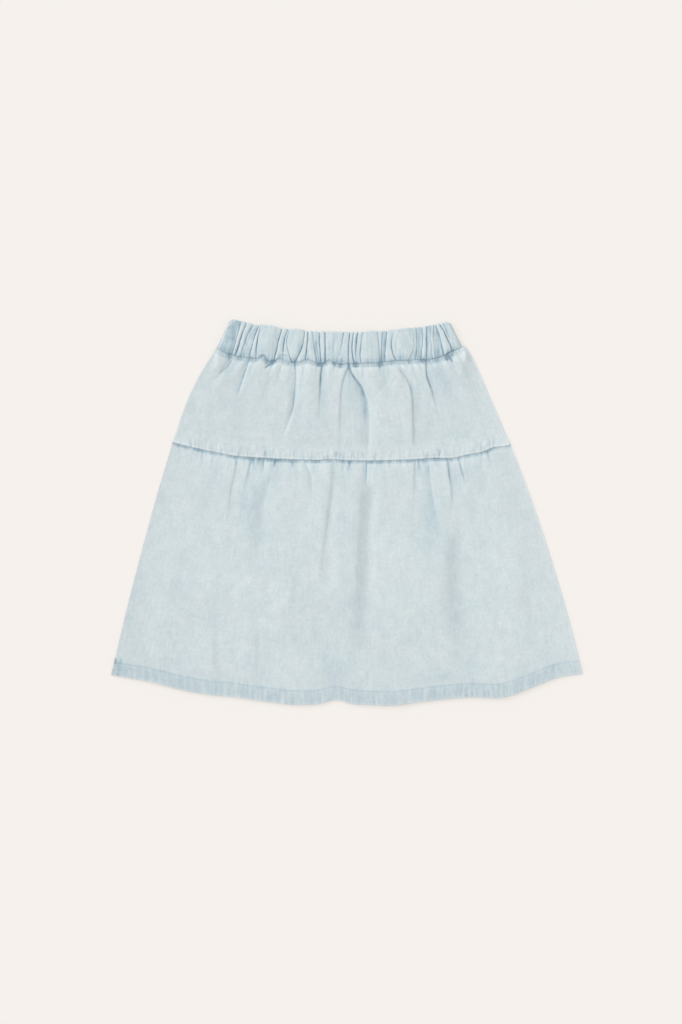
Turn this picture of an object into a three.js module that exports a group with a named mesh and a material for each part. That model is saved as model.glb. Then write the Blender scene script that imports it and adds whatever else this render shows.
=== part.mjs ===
// A gathered denim skirt in two tiers with an elastic waist, lying flat on its back on the ground.
// +X is the wearer's left as it lies, +Y runs from the hem to the waist and +Z is up. All is in millimetres.
// Six sewn pieces: the casing of the waist, the upper tier and the lower tier, each with a front and a back.
// The back pieces rest on the ground with a flat underside, and the front pieces lie on them.
import * as THREE from 'three';

// ---- Driving dimensions ----
const CLOTH = 1.4; // one layer of washed denim
const SEAM_GAP = 0.3; // between pieces that are sewn together or lie on each other
const CASING_CORE = 1.8; // casing at a crease: two layers pressed onto the elastic
const CASING_BACK_TOP = 4; // highest point of the casing's back half
const UPPER_LENGTH = 106; // of the upper tier, down the middle
const LOWER_LENGTH = 272; // of the lower tier, down the middle
const HEM_DEPTH = 16; // turned-up hem
const HEM_STEP = 1.2; // the length of the step from one layer to the hem's two
const STITCH_GROOVE = 0.35; // the hem's stitching pulls the cloth in by this much
const ALLOWANCE_WIDTH = 11; // seam allowance pressed up under the upper tier
const ALLOWANCE_RISE = 0.8;
const ALLOWANCE_SLOPE = 6.5; // the length over which the cloth rises onto the allowance

// The lines that run across the skirt, each from its left end to its right end. A line sags between its
// ends, and a larger flatness gives it a flatter middle with sharper ends. At its waves the line hangs
// lower, or higher where the drop is negative.
const WAIST_TOP = { left: [-131, 216.4], right: [116, 213.6], sag: 13.6, flatness: 2.2, waves: [] };
const WAIST_SEAM = {
  left: [-145.5, 182.8],
  right: [129.7, 183.7],
  sag: 17.6,
  flatness: 3,
  waves: [
    { x: -127, drop: 2, width: 12 },
    { x: -94, drop: -3.8, width: 6 },
    { x: -74, drop: -3.4, width: 6 },
    { x: -44, drop: -4, width: 8 },
    { x: -19.5, drop: -3.4, width: 6 },
    { x: 52, drop: -1.4, width: 10 },
    { x: 98, drop: 3, width: 13 },
  ],
};
const TIER_SEAM = {
  left: [-194.9, 77.5],
  right: [183.7, 74.5],
  sag: 19,
  flatness: 2.8,
  waves: [
    { x: -125, drop: 1, width: 22 },
    { x: -15, drop: -0.9, width: 12 },
    { x: 120, drop: 2.3, width: 13 },
    { x: 146, drop: 1, width: 12 },
    { x: 166, drop: -1.8, width: 12 },
  ],
};
const HEM = {
  left: [-264, -183.8],
  right: [264.3, -182.2],
  sag: 33.6,
  flatness: 2,
  waves: [
    { x: -222, drop: -2.6, width: 30 },
    { x: -127, drop: -1.3, width: 18 },
    { x: -61, drop: 1.6, width: 22 },
    { x: -12, drop: -5.2, width: 14 },
    { x: 53, drop: 2.4, width: 25 },
    { x: 176, drop: 7.2, width: 29 },
    { x: 238, drop: -3, width: 18 },
  ],
};

// The back's lines are plain, and its free edges stay a little inside the front's, so that the front covers
// them.
const WAIST_TOP_BACK = { ...WAIST_TOP, sag: 14.8 };
const WAIST_SEAM_BACK = { ...WAIST_SEAM, waves: [] };
const TIER_SEAM_BACK = { ...TIER_SEAM, waves: [] };
const HEM_BACK = { left: [-263.4, -181.4], right: [263.7, -180], sag: 26.5, flatness: 2, waves: [] };

// How far a tier's side bows outwards, and its skew: 1 has the bow half way down, and a smaller skew moves
// it up to a shoulder below the seam.
const UPPER_BOW = { left: { out: 6.4, skew: 0.85 }, right: { out: 5.6, skew: 0.35 } };
const LOWER_BOW = { left: { out: 2.8, skew: 0.9 }, right: { out: 5.6, skew: 0.95 } };

// Creases of the front casing from left to right: x at the top edge, half way down and at the seam,
// and the height of the gather to the right of each crease.
const FRONT_CREASES = [
  { top: -117.7, middle: -122.9, foot: -128.5, gather: 2 },
  { top: -112.1, middle: -118.7, foot: -124.9, gather: 1.6 },
  { top: -104.7, middle: -113.1, foot: -119.3, gather: 0.5 },
  { top: -98, middle: -104.2, foot: -109.2, gather: 1.8 },
  { top: -95.2, middle: -100.2, foot: -101.6, gather: 2.9 },
  { top: -71.7, middle: -77.1, foot: -80.9, gather: 1.8 },
  { top: -65.1, middle: -70, foot: -70.9, gather: 1.2 },
  { top: -62.6, middle: -66.6, foot: -60.5, gather: 2.6 },
  { top: -47.4, middle: -49.8, foot: -57.7, gather: 1.5 },
  { top: -42.8, middle: -43.9, foot: -46.5, gather: 1.5 },
  { top: -37.5, middle: -36.4, foot: -33, gather: 0.7 },
  { top: -30.2, middle: -29.7, foot: -28.3, gather: 1.5 },
  { top: -24.1, middle: -24.1, foot: -23.4, gather: 1.9 },
  { top: -12.3, middle: -14.6, foot: -15.1, gather: 1.5 },
  { top: -3.2, middle: -6.7, foot: -10.6, gather: 1.6 },
  { top: 4.1, middle: 2.5, foot: 2.2, gather: 1.3 },
  { top: 8.5, middle: 6, foot: 9.3, gather: 1.8 },
  { top: 13.1, middle: 10.3, foot: 11.8, gather: 1.6 },
  { top: 18.5, middle: 15.8, foot: 16.2, gather: 2.7 },
  { top: 34.2, middle: 36.4, foot: 37, gather: 1.3 },
  { top: 39.8, middle: 39.2, foot: 38.4, gather: 0.4 },
  { top: 44.8, middle: 43.7, foot: 42.6, gather: 1.8 },
  { top: 54.3, middle: 50.4, foot: 56, gather: 2.6 },
  { top: 72.2, middle: 75.6, foot: 68.9, gather: 1.2 },
  { top: 77.8, middle: 78.5, foot: 76.7, gather: 0.4 },
  { top: 85.1, middle: 84.6, foot: 84, gather: 1.7 },
  { top: 90.2, middle: 89.7, foot: 89.5, gather: 0.7 },
  { top: 94.6, middle: 95, foot: 96, gather: 1.3 },
  { top: 97, middle: 98, foot: 99, gather: 0.5 },
  { top: 98.8, middle: 105, foot: 109, gather: 1.8 },
  { top: 103, middle: 112.6, foot: 118.4, gather: 1.5 },
  { top: 107.6, middle: 114.4, foot: 121.5, gather: 1.5 },
];
const FIRST_GATHER = 1.3; // height of the gather between the left side and the first crease

// The casing's back half has nearly even gathers, and they show on its inner face only. The steps are angles
// that set each gather a little apart from its neighbours.
const BACK_GATHERS = { count: 24, height: 1.1, sway: 0.3, unevenness: 0.25 };
const UNEVEN_STEPS = { place: 2.4, slant: 1.7, height: 3.1 };

// A gather is an arch between two creases. Only a share of it is left at the casing's top fold and at its
// seam, and it is whole from fadeDepth on, a share of the casing's height. The inner face follows a share of
// the arch.
const GATHER_FORM = { roundness: 0.7, atFold: 0.7, atSeam: 0.5, fadeDepth: 0.3, inner: 0.4 };

// How far the casing rounds down at its top fold and its two sides, and over which shares of its height and
// width.
const CASING_EDGE = { drop: 0.9, foldShare: 0.1, sideShare: 0.02 };

// The gathers go on into the upper tier below the waist seam, and die away within a reach. Height and reach
// follow a gather's width.
const DRAWN_UP = { heightShare: 0.25, mostHeight: 2, reachShare: 1.4, mostReach: 22 };

// Folds of the upper front tier. A fold runs from x = top at the waist seam to x = foot where it has died
// away, at the share of the tier's depth given by reach. A negative rise is a trough.
const UPPER_FOLDS = [
  { top: -130, foot: -160, reach: 0.55, width: 5, rise: -2.6 },
  { top: -109, foot: -132, reach: 0.7, width: 5, rise: -2.8 },
  { top: -84, foot: -92, reach: 0.2, width: 4, rise: -1.6 },
  { top: -56, foot: -78, reach: 1.15, width: 6, rise: -3.2 },
  { top: -27, foot: -31, reach: 0.9, width: 7, rise: -3.6 },
  { top: -11, foot: -18, reach: 0.5, width: 5, rise: -1.4 },
  { top: 6, foot: 24, reach: 1.4, width: 8, rise: -4 },
  { top: 39, foot: 41, reach: 0.2, width: 4, rise: -1.6 },
  { top: 62, foot: 80, reach: 1.3, width: 6, rise: -2.4 },
  { top: 90, foot: 112, reach: 1.1, width: 6, rise: -3.2 },
  { top: 113, foot: 124, reach: 0.3, width: 5, rise: -1.8 },
  { top: -40, foot: -50, reach: 1.2, width: 9, rise: 1.4 },
  { top: 26, foot: 48, reach: 1.5, width: 15, rise: 2.2 },
  { top: -98, foot: -108, reach: 1.1, width: 12, rise: 1.2 },
];

// Folds of the lower front tier, from the tier seam downwards.
const LOWER_FOLDS = [
  { top: -162, foot: -163, reach: 0.1, width: 4, rise: -1.2 },
  { top: -122, foot: -142, reach: 0.75, width: 7, rise: -1.6 },
  { top: -107, foot: -118, reach: 0.35, width: 5, rise: -1.3 },
  { top: -92, foot: -106, reach: 0.75, width: 9, rise: -2.4 },
  { top: -79, foot: -82, reach: 0.2, width: 4, rise: -1.5 },
  { top: -46, foot: -37, reach: 0.2, width: 4, rise: -1.8 },
  { top: -13, foot: -36, reach: 0.9, width: 7, rise: -1.6 },
  { top: 25, foot: 8, reach: 1.5, width: 11, rise: -2.8 },
  { top: 61, foot: 62, reach: 0.15, width: 4, rise: -1.4 },
  { top: 77, foot: 69, reach: 0.45, width: 5, rise: -1.6 },
  { top: 89, foot: 116, reach: 0.7, width: 8, rise: -1.8 },
  { top: 113, foot: 130, reach: 1.6, width: 9, rise: -2.6 },
  { top: 130, foot: 137, reach: 0.2, width: 5, rise: -1.6 },
  { top: -68, foot: -58, reach: 1.7, width: 18, rise: 1.6 },
  { top: 50, foot: 56, reach: 1.8, width: 24, rise: 2 },
  { top: 160, foot: 182, reach: 1.8, width: 22, rise: 1.6 },
  { top: -150, foot: -200, reach: 1.7, width: 26, rise: 1.2 },
];
const FOLD_WIDENING = 0.6; // a fold is wider by this share where it dies away

// Waves of the hem itself, which grow towards the free edge.
const HEM_RISES = [
  { x: -170, rise: 1.4, width: 26 },
  { x: -62, rise: 2.2, width: 24 },
  { x: -12, rise: -1.4, width: 15 },
  { x: 52, rise: 2.4, width: 30 },
  { x: 172, rise: 2.6, width: 28 },
];

// How a front lifts off the back: least everywhere, atWaist where the casing holds it up (gone after
// waistReach), and a puff that starts within puffStart of the seam above. A smaller puffLeft lets the puff
// sink down the tier, and a body swells in its middle. The folds start within foldStart of the seam. Reaches
// and starts are lengths.
const UPPER_LIFT = {
  least: 0.4,
  atWaist: 2.6,
  waistReach: 80,
  puff: 1.8,
  puffStart: 12,
  puffLeft: 0.5,
  foldStart: 8,
};
const LOWER_LIFT = { least: 0.6, puff: 1.4, puffStart: 16, body: 0.8 };
const SIDE_OPENING = 0.05; // the share of a tier's width within which the cloth lifts at its sides

// Towards the hem, at these shares of the lower tier's length, the folds flatten and the hem's own waves
// begin.
const NEAR_HEM = { from: 0.8, to: 0.9, flattening: 0.6, wavesFrom: 0.5 };

// ---- Grid sizes ----
const GATHER_STEP = 2.8; // the aim for one step across a gather
const GATHER_STEPS = { fewest: 3, most: 8 };
const CASING_ROWS = [0, 0.08, 0.32, 0.62, 0.88, 1];
const BACK_CASING_ROWS = [0, 0.12, 0.86, 1];
const UPPER_ROWS = [0, 0.06, 0.15, 0.3, 0.5, 0.72, 0.88, 1];
const LOWER_ROWS = [0, 0.03, 0.08, 0.18, 0.34, 0.54, 0.74, 0.88];
const BACK_ROWS = [0, 0.25, 0.5, 0.75];
const LOWER_COLUMNS = 90;
const BACK_COLUMNS = 40;

// ---- Lines and plans ----
const { clamp, lerp, smoothstep } = THREE.MathUtils;
const bell = (distance, width) => Math.exp(-((distance / width) ** 2));

// The point of a line at a share u of its width.
function across(line, u) {
  const x = lerp(line.left[0], line.right[0], u);
  const sag = line.sag * (1 - Math.abs(2 * u - 1) ** line.flatness);
  const drop = line.waves.reduce((sum, wave) => sum + wave.drop * bell(x - wave.x, wave.width), 0);
  return { x, y: lerp(line.left[1], line.right[1], u) - sag - drop };
}

function shareOf(line, x) {
  return (x - line.left[0]) / (line.right[0] - line.left[0]);
}

function sideBow({ out, skew }, v) {
  const s = v ** skew;
  return out * 4 * s * (1 - s);
}

// The plan of a tier between two lines: a point at a share u across and a share v down, half a seam gap
// inside each sewn line.
function plan({ upper, lower, bow, lowerSewn }) {
  return (u, v) => {
    const a = across(upper, u);
    const b = across(lower, u);
    const foot = b.y + (lowerSewn ? SEAM_GAP / 2 : 0);
    const bowed = lerp(-sideBow(bow.left, v), sideBow(bow.right, v), u);
    return { x: lerp(a.x, b.x, v) + bowed, y: lerp(a.y - SEAM_GAP / 2, foot, v) };
  };
}

// ---- Walls ----
// A closed wall from a grid of points, each with x, y and the heights of its two faces.
function wall(name, grid, material) {
  const rows = grid.length;
  const columns = grid[0].length;
  const count = rows * columns;
  const positions = new Float32Array(count * 6);
  grid.forEach((row, r) =>
    row.forEach((point, c) => {
      const at = r * columns + c;
      positions.set([point.x, point.y, point.high], at * 3);
      positions.set([point.x, point.y, point.low], (count + at) * 3);
    }),
  );
  const index = [];
  const quad = (a, b, c, d) => index.push(a, b, c, a, c, d);
  const vertex = (r, c) => r * columns + c;
  for (let r = 0; r < rows - 1; r++) {
    for (let c = 0; c < columns - 1; c++) {
      const [a, b, d, e] = [vertex(r, c), vertex(r + 1, c), vertex(r + 1, c + 1), vertex(r, c + 1)];
      quad(a, b, d, e);
      quad(count + a, count + e, count + d, count + b);
    }
  }
  const rim = (a, b) => quad(a, b, count + b, count + a);
  for (let c = 0; c < columns - 1; c++) {
    rim(vertex(0, c), vertex(0, c + 1));
    rim(vertex(rows - 1, c + 1), vertex(rows - 1, c));
  }
  for (let r = 0; r < rows - 1; r++) {
    rim(vertex(r + 1, 0), vertex(r, 0));
    rim(vertex(r, columns - 1), vertex(r + 1, columns - 1));
  }
  const geometry = new THREE.BufferGeometry();
  geometry.setAttribute('position', new THREE.BufferAttribute(positions, 3));
  geometry.setIndex(index);
  geometry.computeVertexNormals();
  const mesh = new THREE.Mesh(geometry, material);
  mesh.name = name;
  return mesh;
}

// ---- Elastic casing ----
function gatherShape(t) {
  return Math.sin(Math.PI * t) ** GATHER_FORM.roundness;
}

function gatherFade(v) {
  const belowFold = smoothstep(v, 0, GATHER_FORM.fadeDepth);
  const aboveSeam = smoothstep(1 - v, 0, GATHER_FORM.fadeDepth);
  return lerp(GATHER_FORM.atFold, 1, belowFold) * lerp(GATHER_FORM.atSeam, 1, aboveSeam);
}

// Where a crease lies at a share v down the casing: a bent line through its three places.
function creaseAt(crease, v) {
  const straight = lerp(crease.top, crease.foot, v);
  const bend = crease.middle - (crease.top + crease.foot) / 2;
  return straight + bend * 4 * v * (1 - v);
}

// The columns of a casing, each with the creases to its two sides and its place t between them.
function casingColumns(creases, firstGather) {
  const side = (end) => ({
    top: WAIST_TOP[end][0],
    middle: (WAIST_TOP[end][0] + WAIST_SEAM[end][0]) / 2,
    foot: WAIST_SEAM[end][0],
  });
  const lines = [{ ...side('left'), gather: firstGather }, ...creases, side('right')];
  const columns = [];
  for (let i = 0; i < lines.length - 1; i++) {
    const [from, to] = [lines[i], lines[i + 1]];
    const aim = Math.round((to.middle - from.middle) / GATHER_STEP);
    const steps = clamp(aim, GATHER_STEPS.fewest, GATHER_STEPS.most);
    for (let step = 0; step < steps; step++) {
      columns.push({ from, to, t: step / steps });
    }
  }
  columns.push({ from: lines.at(-2), to: lines.at(-1), t: 1 });
  return columns;
}

function columnX({ from, to, t }, v) {
  return lerp(creaseAt(from, v), creaseAt(to, v), t);
}

function casingGrid({ columns, topLine, footLine, rows, heights }) {
  return rows.map((v) =>
    columns.map((column) => {
      const x = columnX(column, v);
      const left = lerp(topLine.left[0], footLine.left[0], v);
      const right = lerp(topLine.right[0], footLine.right[0], v);
      const u = (x - left) / (right - left);
      const top = across(topLine, u).y;
      const foot = across(footLine, u).y + SEAM_GAP / 2;
      const arch = column.from.gather * gatherShape(column.t) * gatherFade(v);
      return { x, y: lerp(top, foot, v), ...heights(arch, u, v) };
    }),
  );
}

const FRONT_COLUMNS = casingColumns(FRONT_CREASES, FIRST_GATHER);

function waistbandFront() {
  const bottom = CASING_BACK_TOP + SEAM_GAP;
  const heights = (arch, u, v) => {
    const fold = 1 - smoothstep(v, 0, CASING_EDGE.foldShare);
    const side = 1 - smoothstep(Math.min(u, 1 - u), 0, CASING_EDGE.sideShare);
    const drop = CASING_EDGE.drop * Math.max(fold, side);
    return { high: bottom + CASING_CORE + arch - drop, low: bottom + GATHER_FORM.inner * arch };
  };
  const lines = { topLine: WAIST_TOP, footLine: WAIST_SEAM };
  const grid = casingGrid({ columns: FRONT_COLUMNS, ...lines, rows: CASING_ROWS, heights });
  return wall('waistband_front', grid, denim('casing'));
}

// Nearly even creases, for the side that rests on the ground.
function backCreases() {
  const { count, height, sway, unevenness } = BACK_GATHERS;
  return Array.from({ length: count - 1 }, (_, i) => {
    const u = (i + 1 + sway * Math.sin(i * UNEVEN_STEPS.place)) / count;
    const slant = (sway * Math.sin(i * UNEVEN_STEPS.slant)) / count;
    const top = lerp(WAIST_TOP.left[0], WAIST_TOP.right[0], u);
    const foot = lerp(WAIST_SEAM.left[0], WAIST_SEAM.right[0], u + slant);
    const gather = height * (1 - unevenness * (1 - Math.sin(i * UNEVEN_STEPS.height)));
    return { top, middle: (top + foot) / 2, foot, gather };
  });
}

function waistbandBack() {
  const columns = casingColumns(backCreases(), BACK_GATHERS.height);
  const heights = (arch) => ({ high: CASING_BACK_TOP - BACK_GATHERS.height + arch, low: 0 });
  const lines = { topLine: WAIST_TOP_BACK, footLine: WAIST_SEAM_BACK };
  const grid = casingGrid({ columns, ...lines, rows: BACK_CASING_ROWS, heights });
  return wall('waistband_back', grid, denim('casing'));
}

// ---- Tiers ----
function foldHeight(folds, x, v) {
  return folds.reduce((sum, fold) => {
    const t = v / fold.reach;
    if (t >= 1) return sum;
    const centre = lerp(fold.top, fold.foot, t);
    const width = fold.width * (1 + FOLD_WIDENING * t);
    return sum + fold.rise * (1 - t * t) * bell(x - centre, width);
  }, 0);
}

// The height of the gather below a column of the casing, at a distance down from the waist seam.
function drawnUp(column, down) {
  const width = column.to.foot - column.from.foot;
  const height = Math.min(DRAWN_UP.heightShare * width, DRAWN_UP.mostHeight);
  const reach = Math.min(DRAWN_UP.reachShare * width, DRAWN_UP.mostReach);
  return height * gatherShape(column.t) * bell(down, reach);
}

const UPPER_FRONT_PLAN = { upper: WAIST_SEAM, lower: TIER_SEAM, bow: UPPER_BOW, lowerSewn: true };
const UPPER_BACK_PLAN = { upper: WAIST_SEAM_BACK, lower: TIER_SEAM_BACK, bow: UPPER_BOW, lowerSewn: true };
const LOWER_FRONT_PLAN = { upper: TIER_SEAM, lower: HEM, bow: LOWER_BOW, lowerSewn: false };
const LOWER_BACK_PLAN = { upper: TIER_SEAM_BACK, lower: HEM_BACK, bow: LOWER_BOW, lowerSewn: false };
const HEM_START = 1 - HEM_DEPTH / LOWER_LENGTH;
const BEFORE_HEM = HEM_START - HEM_STEP / LOWER_LENGTH;

const inHem = (v) => v > (HEM_START + BEFORE_HEM) / 2;
const evenly = (count) => Array.from({ length: count + 1 }, (_, i) => i / count);

// The front of a tier: it never comes nearer than a seam gap to what lies under it, and its sides lie
// closed.
function frontTier({ name, layout, shares, rows, shape }) {
  const at = plan(layout);
  const grid = rows.map((v) =>
    shares.map((u, index) => {
      const { x, y } = at(u, v);
      const { lift, under, thickness } = shape(x, v, index);
      const open = smoothstep(Math.min(u, 1 - u), 0, SIDE_OPENING);
      const low = under + SEAM_GAP + Math.max(0, lift) * open;
      return { x, y, low, high: low + thickness };
    }),
  );
  return wall(name, grid, denim('tier'));
}

function backTier(name, layout, rows, thicknessAt) {
  const at = plan(layout);
  const rowAt = (v) => evenly(BACK_COLUMNS).map((u) => ({ ...at(u, v), low: 0, high: thicknessAt(v) }));
  return wall(name, rows.map(rowAt), denim('tier'));
}

// The upper tier takes its columns from the casing's, so that the two meet along one line.
function upperTierFront() {
  const { least, atWaist, waistReach, puff, puffStart, puffLeft, foldStart } = UPPER_LIFT;
  const allowanceEdge = UPPER_LENGTH - ALLOWANCE_WIDTH;
  const shape = (x, v, index) => {
    const down = v * UPPER_LENGTH;
    const held = atWaist * (1 - smoothstep(down, 0, waistReach));
    const puffed = puff * smoothstep(down, 0, puffStart) * lerp(1, puffLeft, v);
    const allowance = ALLOWANCE_RISE * smoothstep(down, allowanceEdge - ALLOWANCE_SLOPE, allowanceEdge);
    const folded = foldHeight(UPPER_FOLDS, x, v) + drawnUp(FRONT_COLUMNS[index], down);
    const lift = least + held + puffed + allowance + folded * smoothstep(down, 0, foldStart);
    return { lift, under: CLOTH, thickness: CLOTH };
  };
  const shares = FRONT_COLUMNS.map((column) => shareOf(WAIST_SEAM, columnX(column, 1)));
  return frontTier({ name: 'upper_tier_front', layout: UPPER_FRONT_PLAN, shares, rows: UPPER_ROWS, shape });
}

function upperTierBack() {
  return backTier('upper_tier_back', UPPER_BACK_PLAN, [...BACK_ROWS, 1], () => CLOTH);
}

function lowerTierFront() {
  const { least, puff, puffStart, body } = LOWER_LIFT;
  const shape = (x, v) => {
    const puffed = puff * smoothstep(v * LOWER_LENGTH, 0, puffStart) + body * Math.sin(Math.PI * v);
    const nearHem = smoothstep(v, NEAR_HEM.from, NEAR_HEM.to);
    const folded = foldHeight(LOWER_FOLDS, x, v) * (1 - NEAR_HEM.flattening * nearHem);
    const rises = HEM_RISES.reduce((sum, wave) => sum + wave.rise * bell(x - wave.x, wave.width), 0);
    const waved = rises * smoothstep(v, NEAR_HEM.wavesFrom, 1);
    const groove = v === HEM_START ? STITCH_GROOVE : 0;
    const lift = least + puffed + folded + waved - groove;
    return { lift, under: CLOTH * (1 + nearHem), thickness: inHem(v) ? 2 * CLOTH : CLOTH };
  };
  const rows = [...LOWER_ROWS, BEFORE_HEM, HEM_START, (HEM_START + 1) / 2, 1];
  const shares = evenly(LOWER_COLUMNS);
  return frontTier({ name: 'lower_tier_front', layout: LOWER_FRONT_PLAN, shares, rows, shape });
}

function lowerTierBack() {
  const thickness = (v) => (inHem(v) ? 2 * CLOTH : CLOTH);
  const rows = [...BACK_ROWS, BEFORE_HEM, HEM_START, 1];
  return backTier('lower_tier_back', LOWER_BACK_PLAN, rows, thickness);
}

// ---- Materials ----
function denim(kind) {
  const colour = { casing: 0xbfd0da, tier: 0xcfdadd }[kind];
  const name = `denim_${kind}`;
  return new THREE.MeshStandardMaterial({ name, color: colour, roughness: 0.92, metalness: 0 });
}

// ---- The skirt ----
const skirt = new THREE.Group();
skirt.name = 'skirt';
skirt.add(waistbandBack(), upperTierBack(), lowerTierBack());
skirt.add(waistbandFront(), upperTierFront(), lowerTierFront());

// The origin is the centre of the rectangle that the skirt covers, on the ground.
const bounds = new THREE.Box3().setFromObject(skirt);
const centre = bounds.getCenter(new THREE.Vector3());
skirt.position.set(-centre.x, -centre.y, -bounds.min.z);

export default skirt;
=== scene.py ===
"""A denim skirt in two gathered tiers with an elastic waist, lying flat on its back on a pale floor.

Each piece is one wall of cloth. It starts as a flat grid, and its points are moved to where the cloth
lies. Every point carries three marks from 0 to 1: how pale it is worn, with some painted light, how much
dye it has kept, as a crease does, with some painted shade, and how much grey painted shade it has, as a
hollow would. Lengths are in millimetres until a mesh gets its points, which are in metres. +X is the
wearer's left, +Y runs from the hem to the waist and +Z is up."""

import math
from collections import namedtuple

import bpy
import numpy as np
from mathutils import Matrix, Vector


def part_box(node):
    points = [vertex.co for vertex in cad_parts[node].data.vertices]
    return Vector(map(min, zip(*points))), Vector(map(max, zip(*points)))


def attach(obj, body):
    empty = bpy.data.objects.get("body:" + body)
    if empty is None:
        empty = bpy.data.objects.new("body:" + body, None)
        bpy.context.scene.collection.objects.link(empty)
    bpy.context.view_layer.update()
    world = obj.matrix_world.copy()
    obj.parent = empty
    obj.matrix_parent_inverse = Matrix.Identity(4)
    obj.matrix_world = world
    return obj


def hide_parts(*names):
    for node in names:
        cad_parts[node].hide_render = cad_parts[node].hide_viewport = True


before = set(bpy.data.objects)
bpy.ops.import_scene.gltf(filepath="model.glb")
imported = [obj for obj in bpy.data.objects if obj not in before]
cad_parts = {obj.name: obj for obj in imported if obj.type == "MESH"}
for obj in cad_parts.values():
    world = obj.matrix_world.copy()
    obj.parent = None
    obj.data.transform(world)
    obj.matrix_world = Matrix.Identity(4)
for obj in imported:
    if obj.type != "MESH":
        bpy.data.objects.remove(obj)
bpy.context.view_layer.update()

MM = 0.001


def table(kind, *rows):
    """Rows of values, with the kind's name for each column."""
    return tuple(kind(*row) for row in rows)


# ---- The lines that run across the skirt ----
# A line goes from its left end to its right end and sags between them. A larger flatness gives it a
# flatter middle. Its waves are where it hangs lower (or, with a negative drop, higher) than that.

Line = namedtuple("Line", "left right sag flatness waves")
Wave = namedtuple("Wave", "x drop width")

WAIST_TOP = Line((-131, 216.4), (116, 213.6), 13.6, 2.2, ())
WAIST_SEAM = Line(
    (-145.5, 182.8),
    (129.7, 183.7),
    17.6,
    3,
    (
        Wave(-134, 2.2, 7),
        Wave(-121, 1.8, 8),
        Wave(-94, -4.4, 4.5),
        Wave(-88, 1.0, 3),
        Wave(-74, -4.0, 6),
        Wave(-59, -0.6, 4),
        Wave(-44, -4.0, 8),
        Wave(-19.5, -3.8, 4.5),
        Wave(-6, 1.2, 5),
        Wave(52, -1.4, 10),
        Wave(92, 3.0, 9),
        Wave(106, 2.6, 8),
    ),
)
TIER_SEAM = Line(
    (-194.9, 77.5),
    (183.7, 74.5),
    19,
    2.8,
    (
        Wave(-125, 1.0, 22),
        Wave(-15, -0.9, 12),
        Wave(120, 2.3, 13),
        Wave(146, 1.0, 10),
        Wave(166, -1.8, 8),
    ),
)
HEM = Line(
    (-264, -183.8),
    (264.3, -182.2),
    33.6,
    2,
    (
        Wave(-222, -2.6, 30),
        Wave(-127, -1.3, 18),
        Wave(-61, 1.6, 22),
        Wave(-12, -5.2, 14),
        Wave(53, 2.4, 25),
        Wave(176, 7.2, 29),
        Wave(238, -3, 18),
    ),
)
WAIST_TOP_BACK = WAIST_TOP._replace(sag=14.8)
WAIST_SEAM_BACK = WAIST_SEAM._replace(waves=(Wave(-70, -2, 9), Wave(15, -2.4, 12), Wave(80, -1.6, 8)))
TIER_SEAM_BACK = TIER_SEAM._replace(waves=())
HEM_BACK = Line((-263.4, -181.4), (263.7, -180), 26.5, 2, ())

# How far the left and right sides of a tier bow outwards. A skew of 1 has the bow half way down, and a
# smaller one moves it up.
Bow = namedtuple("Bow", "out skew")
UPPER_BOWS = (Bow(6.4, 0.85), Bow(5.6, 0.35))
LOWER_BOWS = (Bow(2.8, 0.9), Bow(5.6, 0.95))

# ---- Heights and depths of the cloth ----
CLOTH = 1.4  # one layer of washed denim
WALL = 1.15  # one layer of the front, a little thinner so that its pressed edges look thin
LAYER_GAP = 0.3  # between the skirt's front and back where they lie closed
CASING_BACK_TOP = 4.0
CASING_CORE = 1.6  # the casing at the foot of a crease
HEM_DEPTH = 16.0
HEM_TURN = 0.7  # how much the turned-up cloth adds to a hem
STITCH_LINE = HEM_DEPTH - 0.8  # how far above its edge a hem is sewn down
STITCH_GROOVE = 0.35  # how far the stitches pull the front's cloth in
ALLOWANCE_WIDTH = 11.0  # seam allowance pressed up under the upper tier
ALLOWANCE_RISE = 0.8
UPPER_LENGTH = 106.0  # down the middle of each tier
LOWER_LENGTH = 273.0
UPPER_WIDTH = 345.0  # of each tier's cloth, before it is gathered
LOWER_WIDTH = 455.0
SEAM_TUCK = 1.5  # how far a tier goes in under the piece above it
WAIST_LIFT = 1.9  # of the upper tier's top, under the casing
SEAM_LIFT = 1.6  # of the upper tier's foot, over the lower tier
TUCKED_LIFT = 0.2  # of the lower tier's top, under the upper tier
SIDE_PRESS = 1.0  # how much lower the front is pressed at the side seams

# ---- Creases of the front casing ----
# Where a crease runs at the casing's top, middle and foot, then how high the gather to its right rises
# and how blue that gather has stayed, from 0 to 1, and last how firmly the crease is pinched at its
# top, middle and foot, from 0 to 1.

Crease = namedtuple("Crease", "top middle foot rise blue top_grip middle_grip foot_grip")

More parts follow.
